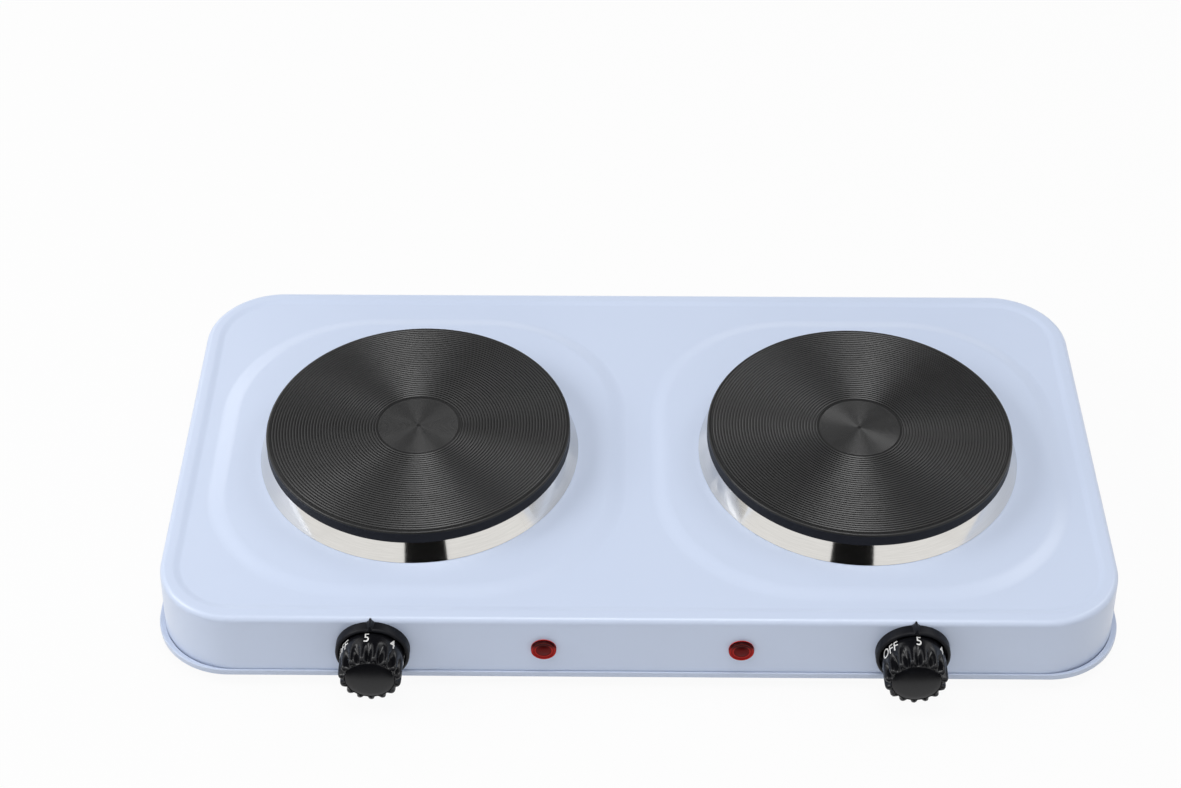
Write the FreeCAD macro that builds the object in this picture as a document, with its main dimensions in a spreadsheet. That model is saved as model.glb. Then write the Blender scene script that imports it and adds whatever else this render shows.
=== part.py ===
import FreeCAD, Part
import Sketcher
import math
import os
import re

# Double hot plate burner, millimetres. Origin on the counter under the middle of the whole object,
# +Z up, the knobs face -Y and +X is to the right as seen from the front.

sizes = {
    # Housing, a pressed sheet that is open below
    "housing_length": 468.6, "housing_depth": 247, "housing_height": 37.2, "corner_radius": 39,
    "sheet": 0.7, "edge_radius": 2, "side_rim": 9.3, "front_rim": 8.5, "panel_drop": 1.2,
    "plateau_width": 30, "plateau_slope": 10, "plateau_rise": 2.2, "plateau_corner": 62,
    "plateau_back": 2, "burner_hole_room": 2.5,
    # Base pan and feet
    "pan_sheet": 0.8, "pan_side_overhang": 4, "pan_front_overhang": 1.1, "pan_corner_radius": 37,
    "lip_height": 2.6, "lip_room": 0.3,
    "slot_length": 44, "slot_width": 4, "slot_pitch": 14, "slot_count": 7,
    "foot_height": 8, "foot_radius": 9, "foot_tip_radius": 7.5, "foot_inset_x": 36,
    "foot_inset_y": 28, "foot_recess_radius": 4.6, "foot_recess_depth": 4.5,
    # Small fasteners
    "hole_fit": 0.15, "base_screw_radius": 2, "base_head_radius": 3.6, "base_head_height": 2.2,
    "base_screw_grip": 5, "small_nut_height": 3.2, "small_nut_corner": 4,
    "bracket_width": 20, "bracket_reach": 13, "bracket_height": 14, "bracket_sheet": 1.2,
    # Burner
    "plate_spacing": 224.9, "plate_shift": 0.5, "plate_forward": 5.5, "plate_radius": 77.5,
    "plate_rim_height": 7.2, "plate_edge_radius": 1.2, "rim_overhang": 7.5, "casting_depth": 10,
    "channel_roof": 0.5, "casting_wall": 6, "channel_inner": 15, "rib_outer": 42, "rib_inner": 38,
    "rib_depth": 6, "groove_first": 22.4, "groove_pitch": 1.5, "groove_margin": 0.8,
    "groove_section": 0.6, "groove_depth": 0.3,
    "ring_height": 9.7, "ring_flare": 3.6, "ring_ledge": 0.4, "ring_room": 1.5,
    "ring_sheet": 0.8,
    "coil_radius": 2.8, "coil_drop": 3, "outer_coil": 53, "outer_gap": 30, "inner_coil": 26.5,
    "inner_gap": 40, "pin_radius": 1.4, "pin_length": 21, "cement_fit": 0.3,
    "backing_inset": 2, "backing_sheet": 0.8,
    "block_width": 40, "block_depth": 42, "block_height": 8, "block_start": 17,
    "stud_radius": 4, "stud_length": 39, "stud_fit": 0.05, "stud_cover": 1.7,
    "bridge_foot": 14, "bridge_room": 1.5, "bridge_slope": 12, "bridge_drop": 20,
    "bridge_width": 26, "bridge_sheet": 2,
    "washer_radius": 8, "washer_sheet": 1.6, "nut_corner": 7.5, "nut_height": 6.5,
    "shield_radius": 76, "shield_sheet": 0.6, "shield_lip": 4,
    # Front controls
    "knob_spacing": 260, "control_shift": 2, "knob_height": 26.6, "knob_reach": 21.4,
    "knob_lift": 2.2, "knob_skirt_radius": 15.3, "knob_front_radius": 14.8, "knob_edge_radius": 1.8,
    "knob_hollow_radius": 13.4, "knob_hollow_depth": 4, "hub_radius": 5.5, "hub_lift": 0.8,
    "flute_count": 15, "flute_radius": 1.9, "flute_offset": 15.5, "flute_start": 9,
    "bezel_radius": 17.9, "bezel_height": 5.4, "bezel_wall": 1.6, "bezel_floor": 1.6,
    "pointer_reach": 20.6, "pointer_root": 3.4, "pointer_tip": 1.2,
    "shaft_radius": 3, "shaft_fit": 0.05, "shaft_back": 17, "shaft_front": 14.6,
    "shaft_flat": 1, "flat_start": 2.4,
    "bush_radius": 5, "bush_front": 1.2, "frame_width": 36, "frame_height": 18, "frame_sheet": 1.2,
    "switch_width": 16, "switch_height": 17, "switch_depth": 16, "switch_room": 0.3,
    "blade_width": 6.3, "blade_sheet": 0.8, "blade_length": 10, "blade_spacing": 10,
    "dial_screw_spacing": 20, "dial_screw_radius": 1.5, "dial_screw_head": 2.8,
    "dial_head_height": 1.6, "dial_screw_grip": 7,
    # Pilot lamps
    "lamp_spacing": 95.3, "lamp_height": 26.6, "lens_radius": 6.2, "lens_rim": 1.2,
    "lens_dome_radius": 4.4, "lens_rise": 3.6, "lens_skin": 1.6, "stem_radius": 4.9,
    "stem_wall": 1.8, "stem_length": 10, "clip_radius": 8, "clip_sheet": 1.2, "lamp_room": 0.2,
    # Supply
    "gland_reach": 8, "gland_height": 24, "gland_flange": 9.5, "gland_flange_sheet": 2.5,
    "gland_neck": 6.9, "gland_tail": 9, "gland_bore": 4, "gland_nose": 5.6, "gland_nut_corner": 11,
    "gland_nut_height": 4,
    "supply_width": 36, "supply_depth": 20, "supply_height": 15, "supply_back": 26,
    "supply_well_radius": 2.6, "supply_well_depth": 7, "supply_pitch": 11,
    "lead_radius": 1.3, "lamp_lead_radius": 0.8, "lead_height": 17,
}

# Levels and places worked out from the sizes above
derived = {
    "centre_y": "(knob_reach - gland_reach) / 2",
    "front_face": "centre_y - housing_depth / 2",
    "back_face": "centre_y + housing_depth / 2",
    "floor_top": "foot_height + pan_sheet",
    "rim_top": "floor_top + housing_height",
    "panel_top": "rim_top - panel_drop",
    "plateau_top": "panel_top + plateau_rise",
    "plate_seat": "plateau_top + ring_height",
    "casting_radius": "plate_radius - rim_overhang",
    "channel_outer": "casting_radius - casting_wall",
    "backing_radius": "casting_radius - backing_inset",
    "burner_hole_radius": "casting_radius + burner_hole_room",
    "plateau_length": "2 * (burner_hole_radius + plateau_width)",
    "ring_bore": "casting_radius + ring_room",
    "ring_top_radius": "plate_radius + ring_ledge",
    "ring_foot_radius": "ring_top_radius + ring_flare",
    "groove_span": "plate_radius - plate_edge_radius - groove_margin - groove_first",
    "groove_count": "floor(groove_span / groove_pitch + 0.001) + 1",
    "bridge_knee": "burner_hole_radius + bridge_room",
    "bridge_half": "bridge_knee + bridge_foot",
    "bridge_waist": "bridge_knee - bridge_slope",
    "pan_length": "housing_length + 2 * pan_side_overhang",
    "pan_depth": "housing_depth + 2 * pan_front_overhang",
    "foot_x": "housing_length / 2 - foot_inset_x",
    "foot_y": "housing_depth / 2 - foot_inset_y",
    "bracket_x": "(knob_spacing + frame_width + housing_length - 2 * corner_radius) / 4",
    "burner_y": "centre_y - plate_forward",
    "cement_floor": "-casting_depth",
    "backing_floor": "cement_floor - backing_sheet",
    "bezel_foot": "foot_height + lip_height + lip_room - knob_height",
    "bridge_seat": "-ring_height - sheet",
    "bridge_under": "-bridge_drop - bridge_sheet",
    "washer_under": "bridge_under - washer_sheet",
    "upper_nut_under": "washer_under - nut_height",
    "shield_under": "upper_nut_under - shield_sheet",
    "lower_nut_under": "shield_under - nut_height",
    "stud_top": "channel_roof - stud_cover",
    "frame_back": "-sheet - frame_sheet",
    "switch_back": "frame_back - switch_depth",
    "knob_hollow_top": "knob_lift + knob_hollow_depth",
    "lens_bore": "stem_radius - stem_wall",
    "lens_roof": "lens_rise - lens_skin",
    "supply_y": "back_face - supply_back - supply_depth / 2",
}

sides = {"left": -1, "right": 1}
for side_name, side_sign in sides.items():
    derived[side_name + "_plate_x"] = f"plate_shift + {side_sign} * plate_spacing / 2"
    derived[side_name + "_knob_x"] = f"control_shift + {side_sign} * knob_spacing / 2"
    derived[side_name + "_lamp_x"] = f"control_shift + {side_sign} * lamp_spacing / 2"

doc = FreeCAD.newDocument("hot_plate_burner")
sheet = doc.addObject("Spreadsheet::Sheet", "Sizes")
for row, (alias, number) in enumerate(sizes.items(), 1):
    sheet.set(f"A{row}", alias)
    sheet.set(f"B{row}", str(number))
    sheet.setAlias(f"B{row}", alias)
doc.recompute()

nodes = []


def formula(text):
    def expand(match):
        word = match.group(0)
        if word in derived:
            return "(" + formula(derived[word]) + ")"
        return "Sizes." + word if word in sizes else word
    return re.sub(r"[a-z][a-z_]*", expand, str(text))


def value(text):
    return float(sheet.evalExpression(formula(text)))


def bind(item, **properties):
    for name, text in properties.items():
        item.setExpression(name, formula(text))
    return item


def place(item, x=0, y=0, z=0, tilt=0):
    item.Placement = FreeCAD.Placement(FreeCAD.Vector(), FreeCAD.Rotation(FreeCAD.Vector(1, 0, 0), tilt))
    for axis, text in zip("xyz", (x, y, z)):
        item.setExpression("Placement.Base." + axis, formula(text))
    return item


def node(item, label):
    item.Label = label
    nodes.append(item)
    return item


# Sketches and bodies

def new_body(name):
    return doc.addObject("PartDesign::Body", name)


def new_sketch(body, name, plane, lift=0):
    sketch = body.newObject("Sketcher::SketchObject", name)
    base = next(item for item in body.Origin.OriginFeatures if item.Role == plane)
    sketch.AttachmentSupport = [(base, "")]
    sketch.MapMode = "FlatFace"
    sketch.setExpression("AttachmentOffset.Base.z", formula(lift))
    return sketch


def dimension(sketch, kind, *where, text):
    index = sketch.addConstraint(Sketcher.Constraint(kind, *where, value(text)))
    sketch.setExpression(f"Constraints[{index}]", formula(text))


def pin_down(sketch, geometry, end, x, y):
    for kind, text, axis in (("DistanceX", x, -2), ("DistanceY", y, -1)):
        if text == 0:
            sketch.addConstraint(Sketcher.Constraint("PointOnObject", geometry, end, axis))
        else:
            dimension(sketch, kind, -1, 1, geometry, end, text=text)


def line(start, end):
    return Part.LineSegment(FreeCAD.Vector(*start, 0), FreeCAD.Vector(*end, 0))


def polygon(body, name, plane, points, lift=0):
    sketch = new_sketch(body, name, plane, lift)
    corners = [(value(x), value(y)) for x, y in points]
    count = len(corners)
    sketch.addGeometry([line(corners[i], corners[(i + 1) % count]) for i in range(count)], False)
    for i in range(count):
        sketch.addConstraint(Sketcher.Constraint("Coincident", i, 2, (i + 1) % count, 1))
    for i, (x, y) in enumerate(points):
        pin_down(sketch, i, 1, x, y)
    return sketch


def rounded_rectangle(body, name, length, depth, radius, lift=0):
    sketch = new_sketch(body, name, "XY_Plane", lift)
    across, along, bend = value(length) / 2, value(depth) / 2, value(radius)
    centres = [(across - bend, bend - along), (across - bend, along - bend),
               (bend - across, along - bend), (bend - across, bend - along)]
    shapes = []
    for turn, (x, y) in enumerate(centres):
        start = math.radians(90 * turn - 90)
        circle = Part.Circle(FreeCAD.Vector(x, y, 0), FreeCAD.Vector(0, 0, 1), bend)
        shapes.append(Part.ArcOfCircle(circle, start, start + math.pi / 2))
    for turn in range(4):
        start = shapes[turn].EndPoint
        end = shapes[(turn + 1) % 4].StartPoint
        shapes.append(Part.LineSegment(start, end))
    sketch.addGeometry(shapes, False)
    for turn in range(4):
        sketch.addConstraint(Sketcher.Constraint("Tangent", turn, 2, turn + 4, 1))
        sketch.addConstraint(Sketcher.Constraint("Tangent", turn + 4, 2, (turn + 1) % 4, 1))
        sketch.addConstraint(Sketcher.Constraint("Horizontal" if turn % 2 else "Vertical", turn + 4))
        if turn:
            sketch.addConstraint(Sketcher.Constraint("Equal", 0, turn))
    dimension(sketch, "DistanceX", -1, 1, 4, 1, text=f"({length}) / 2")
    dimension(sketch, "DistanceX", 6, 1, -1, 1, text=f"({length}) / 2")
    dimension(sketch, "DistanceY", -1, 1, 5, 1, text=f"({depth}) / 2")
    dimension(sketch, "DistanceY", 7, 1, -1, 1, text=f"({depth}) / 2")
    dimension(sketch, "Radius", 0, text=radius)
    return sketch


def circle_sketch(body, name, x, y, radius, lift=0):
    sketch = new_sketch(body, name, "XY_Plane", lift)
    centre = FreeCAD.Vector(value(x), value(y), 0)
    sketch.addGeometry(Part.Circle(centre, FreeCAD.Vector(0, 0, 1), value(radius)), False)
    pin_down(sketch, 0, 3, x, y)
    dimension(sketch, "Radius", 0, text=radius)
    return sketch


def pad(body, sketch, length, both_ways=False):
    feature = body.newObject("PartDesign::Pad", sketch.Name + "_pad")
    feature.Profile = sketch
    if both_ways:
        feature.SideType = "Symmetric"
    return bind(feature, Length=length)


def pocket(body, sketch, depth):
    before = body.Tip
    feature = body.newObject("PartDesign::Pocket", sketch.Name + "_pocket")
    feature.Profile = sketch
    bind(feature, Length=depth)
    doc.recompute()
    if feature.Shape.Volume >= before.Shape.Volume:
        raise RuntimeError(feature.Name + " cuts nothing")
    return feature


def revolve(name, points):
    body = new_body(name)
    sketch = polygon(body, name + "_profile", "XZ_Plane", points)
    feature = body.newObject("PartDesign::Revolution", name + "_turn")
    feature.Profile = sketch
    feature.ReferenceAxis = (sketch, ["V_Axis"])
    feature.Angle = 360
    return body


def round_edges(body, name, radius, chosen):
    doc.recompute()
    base = body.Tip
    edges = [f"Edge{i}" for i, edge in enumerate(base.Shape.Edges, 1) if chosen(edge)]
    feature = body.newObject("PartDesign::Fillet", name)
    feature.Base = (base, edges)
    return bind(feature, Radius=radius)


def edge_at(level, least_radius=0):
    def chosen(edge):
        flat = all(abs(point.Z - value(level)) < 0.001 for point in edge.Vertexes)
        wide = min(math.hypot(point.X, point.Y) for point in edge.Vertexes) >= least_radius
        return flat and wide
    return chosen


# Primitives and booleans

def box(name, length, width, height, x=None, y=None, z=0):
    item = doc.addObject("Part::Box", name)
    bind(item, Length=length, Width=width, Height=height)
    return place(item, f"-({length}) / 2" if x is None else x, f"-({width}) / 2" if y is None else y, z)


def cylinder(name, radius, height, x=0, y=0, z=0, tilt=0):
    return place(bind(doc.addObject("Part::Cylinder", name), Radius=radius, Height=height), x, y, z, tilt)


def hexagon(name, corner, height, x=0, y=0, z=0):
    item = doc.addObject("Part::Prism", name)
    item.Polygon = 6
    return place(bind(item, Circumradius=corner, Height=height), x, y, z)


def compound(name, items):
    group = doc.addObject("Part::Compound", name)
    group.Links = items
    return group


def fuse(name, items):
    joined = doc.addObject("Part::MultiFuse", name)
    joined.Shapes = items
    return joined


def cut(name, base, tools):
    feature = doc.addObject("Part::Cut", name)
    feature.Base = base
    feature.Tool = tools[0] if len(tools) == 1 else compound(name + "_tools", tools)
    return feature


def hex_nut(name, corner, height, bore, x=0, y=0, z=0):
    blank = hexagon(name + "_blank", corner, height, x, y, z)
    return cut(name, blank, [cylinder(name + "_bore", bore, height, x, y, z)])


def screw(name, radius, head_radius, head_height, length, x=0, y=0, z=0):
    # The head's underside is at z, its shank runs up from there
    head = cylinder(name + "_head", head_radius, head_height, x, y, f"{z} - {head_height}")
    shank = cylinder(name + "_shank", radius, length, x, y, z)
    return fuse(name, [head, shank])


# Housing

def raise_plateau(body, name, side, level):
    # A low seat with round corners and sloping sides, under one burner
    foot = rounded_rectangle(body, name + "_foot", "plateau_length", "plateau_length", "plateau_corner",
                             level)
    length = "plateau_length - 2 * plateau_slope"
    top = rounded_rectangle(body, name + "_top", length, length, "plateau_corner - plateau_slope",
                            f"{level} + plateau_rise")
    for sketch in (foot, top):
        sketch.setExpression("AttachmentOffset.Base.x", formula(f"{side}_plate_x"))
        sketch.setExpression("AttachmentOffset.Base.y", formula("plateau_back - plate_forward"))
    plateau = body.newObject("PartDesign::AdditiveLoft", name)
    plateau.Profile = foot
    plateau.Sections = [top]
    plateau.Ruled = True


def pressed_form(name, inset):
    body = new_body(name)
    outline = rounded_rectangle(body, name + "_outline", f"housing_length - 2 * {inset}",
                                f"housing_depth - 2 * {inset}", f"corner_radius - {inset}")
    pad(body, outline, f"housing_height - {inset}")
    round_edges(body, name + "_edge", f"edge_radius - {inset}", edge_at(f"housing_height - {inset}"))
    doc.recompute()
    panel = rounded_rectangle(body, name + "_panel", f"housing_length - 2 * side_rim + 2 * {inset}",
                              f"housing_depth - 2 * front_rim + 2 * {inset}",
                              f"corner_radius - side_rim + {inset}", f"housing_height - {inset}")
    pocket(body, panel, "panel_drop")
    for side in sides:
        raise_plateau(body, f"{name}_plateau_{side}", side, f"housing_height - panel_drop - {inset}")
    return place(body, 0, "centre_y", "floor_top")


def front_hole(name, radius, x, z):
    return cylinder(name, radius, "4 * sheet", x, "front_face + 2 * sheet", z, 90)


def make_housing():
    tools = [pressed_form("housing_inside", "sheet")]
    for side in sides:
        tools.append(cylinder(f"burner_hole_{side}", "burner_hole_radius", "housing_height",
                              f"{side}_plate_x", "burner_y", "panel_top - 2 * sheet"))
        tools.append(front_hole(f"bush_hole_{side}", "bush_radius + hole_fit", f"{side}_knob_x",
                                "knob_height"))
        tools.append(front_hole(f"lamp_hole_{side}", "stem_radius + hole_fit",
                                f"{side}_lamp_x", "lamp_height"))
        for hand, turn in sides.items():
            tools.append(front_hole(f"dial_screw_hole_{side}_{hand}", "dial_screw_radius + hole_fit",
                                    f"{side}_knob_x + {turn} * dial_screw_spacing / 2", "knob_height"))
    tools.append(cylinder("gland_hole", "gland_neck + hole_fit", "4 * sheet",
                          0, "back_face + 2 * sheet", "gland_height", 90))
    shell = pressed_form("housing_outside", "0")
    for tool in tools:
        shell = cut("housing_less_" + tool.Name, shell, [tool])
    node(shell, "housing")


# Base pan, feet and the screws that close the case

def feet_places():
    for side, sign in sides.items():
        for end, way in (("front", -1), ("back", 1)):
            yield f"{end}_{side}", f"{sign} * foot_x", f"centre_y + {way} * foot_y"


def bracket_places():
    for side, sign in sides.items():
        for end, way in (("front", -1), ("back", 1)):
            wall = f"(housing_depth / 2 - sheet) * {way}"
            yield f"{end}_{side}", f"{sign} * bracket_x", f"centre_y + {wall}", way


def make_pan():
    body = new_body("pan_form")
    tray = rounded_rectangle(body, "pan_outline", "pan_length", "pan_depth", "pan_corner_radius")
    pad(body, tray, "lip_height")
    doc.recompute()
    inside = rounded_rectangle(body, "pan_inside", "pan_length - 2 * pan_sheet", "pan_depth - 2 * pan_sheet",
                               "pan_corner_radius - pan_sheet", "lip_height")
    pocket(body, inside, "lip_height - pan_sheet")
    place(body, 0, "centre_y", "foot_height")
    tools = []
    for side in sides:
        for i in range(int(value("slot_count"))):
            start = f"{side}_plate_x + ({i} - (slot_count - 1) / 2) * slot_pitch - slot_width / 2"
            tools.append(box(f"vent_{side}_{i}", "slot_width", "slot_length", "3 * pan_sheet", start,
                             "burner_y - slot_length / 2", "foot_height - pan_sheet"))
    for corner, x, y in feet_places():
        tools.append(cylinder("foot_hole_" + corner, "base_screw_radius + hole_fit", "3 * pan_sheet",
                              x, y, "foot_height - pan_sheet"))
    for corner, x, y, way in bracket_places():
        tools.append(cylinder("bracket_hole_" + corner, "base_screw_radius + hole_fit", "3 * pan_sheet",
                              x, f"{y} - {way} * bracket_reach / 2", "foot_height - pan_sheet"))
    node(cut("pan_cut", body, tools), "base_pan")


def make_feet():
    screws = []
    nuts = []
    for corner, x, y in feet_places():
        blank = doc.addObject("Part::Cone", "foot_blank_" + corner)
        bind(blank, Radius1="foot_tip_radius", Radius2="foot_radius", Height="foot_height")
        recess = cylinder("foot_recess_" + corner, "foot_recess_radius", "foot_recess_depth")
        bore = cylinder("foot_bore_" + corner, "base_screw_radius + hole_fit", "foot_height")
        foot = cut("foot_" + corner, blank, [fuse("foot_tool_" + corner, [recess, bore])])
        node(place(foot, x, y), "foot_" + corner)
        screws.append(screw("foot_screw_" + corner, "base_screw_radius", "base_head_radius",
                            "base_head_height", "foot_height - foot_recess_depth + base_screw_grip",
                            x, y, "foot_recess_depth"))
        nuts.append(hex_nut("foot_nut_" + corner, "small_nut_corner", "small_nut_height",
                            "base_screw_radius + stud_fit", x, y, "floor_top"))
    node(compound("foot_screw_set", screws), "foot_screws")
    node(compound("foot_nut_set", nuts), "foot_nuts")


def make_brackets():
    brackets = []
    screws = []
    for corner, x, y, way in bracket_places():
        left = f"{x} - bracket_width / 2"
        near = "bracket_reach" if way > 0 else "0"
        wall = "bracket_sheet" if way > 0 else "0"
        flat = box("bracket_flat_" + corner, "bracket_width", "bracket_reach", "bracket_sheet",
                   left, f"{y} - {near}", "floor_top")
        upright = box("bracket_upright_" + corner, "bracket_width", "bracket_sheet", "bracket_height",
                      left, f"{y} - {wall}", "floor_top")
        middle = f"{y} - {way} * bracket_reach / 2"
        hole = cylinder("bracket_bore_" + corner, "base_screw_radius + stud_fit", "2 * bracket_sheet",
                        x, middle, "floor_top")
        brackets.append(cut("bracket_" + corner, fuse("bracket_angle_" + corner, [flat, upright]), [hole]))
        screws.append(screw("base_screw_" + corner, "base_screw_radius", "base_head_radius",
                            "base_head_height", "base_screw_grip", x, middle, "foot_height"))
    node(compound("bracket_set", brackets), "housing_brackets")
    node(compound("base_screw_set", screws), "base_screws")


# One burner, with its height measured from the underside of the plate rim

def pin_places():
    for coil, gap in (("outer_coil", "outer_gap"), ("inner_coil", "inner_gap")):
        for hand in (-1, 1):
            yield coil, f"{hand} * {coil} * sin({gap} / 2)", f"{coil} * cos({gap} / 2)"


def make_plate(side):
    plate = revolve("plate_" + side, [
        (0, "plate_rim_height"), ("plate_radius", "plate_rim_height"), ("plate_radius", 0),
        ("casting_radius", 0), ("casting_radius", "-casting_depth"),
        ("channel_outer", "-casting_depth"), ("channel_outer", "channel_roof"),
        ("rib_outer", "channel_roof"), ("rib_outer", "-rib_depth"), ("rib_inner", "-rib_depth"),
        ("rib_inner", "channel_roof"), ("channel_inner", "channel_roof"),
        ("channel_inner", "-casting_depth"), ("stud_radius + stud_fit", "-casting_depth"),
        ("stud_radius + stud_fit", "stud_top"), (0, "stud_top")])
    round_edges(plate, "plate_edge_" + side, "plate_edge_radius", edge_at("plate_rim_height", 1))
    rings = []
    for i in range(int(value("groove_count"))):
        ring = doc.addObject("Part::Torus", f"groove_{side}_{i}")
        bind(ring, Radius1=f"groove_first + {i} * groove_pitch", Radius2="groove_section")
        rings.append(place(ring, 0, 0, "plate_rim_height + groove_section - groove_depth"))
    return cut("hotplate_" + side, plate, rings)


def make_element(side):
    coils = []
    pins = list(pin_places())
    for coil, gap in (("outer_coil", "outer_gap"), ("inner_coil", "inner_gap")):
        ring = doc.addObject("Part::Torus", f"{coil}_ring_{side}")
        bind(ring, Radius1=coil, Radius2="coil_radius", Angle3=f"360 - {gap}")
        start = f"90 + {gap} / 2"
        place(ring, 0, 0, "-coil_drop")
        ring.Placement.Rotation = FreeCAD.Rotation(FreeCAD.Vector(0, 0, 1), value(start))
        ring.setExpression("Placement.Rotation.Angle", formula(start))
        tails = [cylinder(f"{coil}_pin_{side}_{i}", "pin_radius", "pin_length", x, y,
                          "-coil_drop - pin_length")
                 for i, (of_coil, x, y) in enumerate(pins) if of_coil == coil]
        coils.append(fuse(f"{coil}_{side}", [ring] + tails))
    return compound("element_" + side, coils)


def pin_holes(name, radius):
    return [cylinder(f"{name}_pin_hole_{i}", radius, "4 * casting_depth", x, y, "-4 * casting_depth")
            for i, (coil, x, y) in enumerate(pin_places())]


def make_cement(side):
    disc = cylinder("cement_disc_" + side, "channel_outer - cement_fit", "casting_depth - rib_depth",
                    0, 0, "cement_floor")
    middle = cylinder("cement_middle_" + side, "channel_inner + cement_fit", "casting_depth",
                      0, 0, "cement_floor")
    return cut("cement_" + side, disc, [middle] + pin_holes("cement_" + side, "pin_radius + stud_fit"))


def make_backing(side):
    disc = cylinder("backing_disc_" + side, "backing_radius", "backing_sheet", 0, 0, "backing_floor")
    middle = cylinder("backing_middle_" + side, "stud_radius + stud_fit", "backing_sheet",
                      0, 0, "backing_floor")
    return cut("backing_" + side, disc, [middle] + pin_holes("backing_" + side, "1.5 * pin_radius"))


def make_terminal_block(side):
    block = box("block_blank_" + side, "block_width", "block_depth", "block_height",
                None, "block_start", "backing_floor - block_height")
    return cut("block_" + side, block, pin_holes("block_" + side, "pin_radius + stud_fit"))


def make_bridge(side):
    body = new_body("bridge_form_" + side)
    lean = "bridge_sheet / 3"
    half = [("bridge_half", "bridge_seat"), ("bridge_knee", "bridge_seat"),
            ("bridge_waist", "-bridge_drop")]
    under = [(f"bridge_waist + {lean}", "bridge_under"),
             (f"bridge_knee + {lean}", "bridge_seat - bridge_sheet"),
             ("bridge_half", "bridge_seat - bridge_sheet")]
    mirrored = [(f"-({x})", z) for x, z in reversed(half)]
    mirrored_under = [(f"-({x})", z) for x, z in reversed(under)]
    strap = polygon(body, "bridge_profile_" + side, "XZ_Plane", half + mirrored + mirrored_under + under)
    pad(body, strap, "bridge_width", True)
    hole = cylinder("bridge_hole_" + side, "stud_radius + hole_fit", "2 * bridge_drop",
                    0, 0, "-2 * bridge_drop")
    return cut("bridge_" + side, body, [hole])


def make_shield(side):
    rim = "shield_under + shield_lip"
    dish = [("stud_radius + hole_fit", "shield_under"), ("shield_radius", "shield_under"),
            ("shield_radius", rim), ("shield_radius - shield_sheet", rim),
            ("shield_radius - shield_sheet", "upper_nut_under"),
            ("stud_radius + hole_fit", "upper_nut_under")]
    return revolve("shield_" + side, dish)


def make_burner(side):
    ring = revolve("ring_" + side, [
        ("ring_foot_radius", "-ring_height"), ("ring_top_radius", 0), ("ring_bore", 0),
        ("ring_bore", "-ring_sheet"), ("ring_top_radius - ring_sheet", "-ring_sheet"),
        ("ring_foot_radius - ring_sheet", "-ring_height")])
    washer = cut("washer_" + side,
                 cylinder("washer_disc_" + side, "washer_radius", "washer_sheet", 0, 0, "washer_under"),
                 [cylinder("washer_hole_" + side, "stud_radius + hole_fit", "washer_sheet",
                           0, 0, "washer_under")])
    nuts = compound("stud_nut_pair_" + side, [
        hex_nut(f"{which}_nut_{side}", "nut_corner", "nut_height", "stud_radius + stud_fit",
                0, 0, which + "_nut_under") for which in ("upper", "lower")])
    stud = cylinder("stud_" + side, "stud_radius", "stud_length", 0, 0, "stud_top - stud_length")
    pieces = {"hotplate": make_plate(side), "spill_ring": ring, "heating_element": make_element(side),
              "element_cement": make_cement(side), "backing_plate": make_backing(side),
              "terminal_block": make_terminal_block(side), "clamp_bridge": make_bridge(side),
              "stud_washer": washer, "stud_nuts": nuts, "heat_shield": make_shield(side)}
    centre = side + "_plate_x"
    for name, item in pieces.items():
        node(place(item, centre, "burner_y", "plate_seat"), f"{name}_{side}")
    node(place(stud, centre, "burner_y", "plate_seat + stud_top - stud_length"), "centre_stud_" + side)


# One control, drawn with its axis along local Z, which comes out of the front wall

def make_bezel(side):
    body = revolve("bezel_form_" + side, [
        ("bush_radius + 2 * hole_fit", 0), ("bezel_radius", 0), ("bezel_radius", "bezel_height"),
        ("bezel_radius - bezel_wall", "bezel_height"), ("bezel_radius - bezel_wall", "bezel_floor"),
        ("bush_radius + 2 * hole_fit", "bezel_floor")])
    root = "bezel_radius - bezel_wall / 2"
    nib = polygon(body, "pointer_" + side, "XY_Plane", [
        ("-pointer_root", root), ("pointer_root", root), ("pointer_tip", "pointer_reach"),
        ("-pointer_tip", "pointer_reach")])
    pad(body, nib, "bezel_height")
    tools = [cylinder(f"bezel_hole_{side}_{hand}", "dial_screw_radius + hole_fit", "bezel_floor",
                      f"{turn} * dial_screw_spacing / 2") for hand, turn in sides.items()]
    # The foot of the ring is cut flat so that it stays over the lip of the pan
    tools.append(box("bezel_foot_" + side, "2 * bezel_radius", "bezel_radius", "bezel_height", None,
                     "bezel_foot - bezel_radius", 0))
    return cut("bezel_" + side, body, tools)


def make_knob(side):
    body = revolve("knob_form_" + side, [
        (0, "knob_reach"), ("knob_front_radius", "knob_reach"), ("knob_skirt_radius", "flute_start"),
        ("knob_skirt_radius", "knob_lift"), ("knob_hollow_radius", "knob_lift"),
        ("knob_hollow_radius", "knob_hollow_top"), ("hub_radius", "knob_hollow_top"),
        ("hub_radius", "knob_lift + hub_lift"), (0, "knob_lift + hub_lift")])
    round_edges(body, "knob_edge_" + side, "knob_edge_radius", edge_at("knob_reach", 1))
    doc.recompute()
    flute = circle_sketch(body, "flute_" + side, 0, "flute_offset", "flute_radius", "knob_reach")
    first = pocket(body, flute, "knob_reach - flute_start")
    ring = body.newObject("PartDesign::PolarPattern", "flutes_" + side)
    ring.Originals = [first]
    ring.Axis = (flute, ["N_Axis"])
    ring.Angle = 360
    bind(ring, Occurrences="flute_count")
    body.Tip = ring
    bore = cut("knob_bore_" + side,
               cylinder("knob_bore_round_" + side, "shaft_radius + stud_fit", "shaft_front + stud_fit"),
               [box("knob_bore_flat_" + side, "4 * shaft_radius", "shaft_radius", "2 * shaft_front", None,
                    "shaft_radius - shaft_flat + stud_fit", "0")])
    return cut("knob_" + side, body, [bore])


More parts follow.
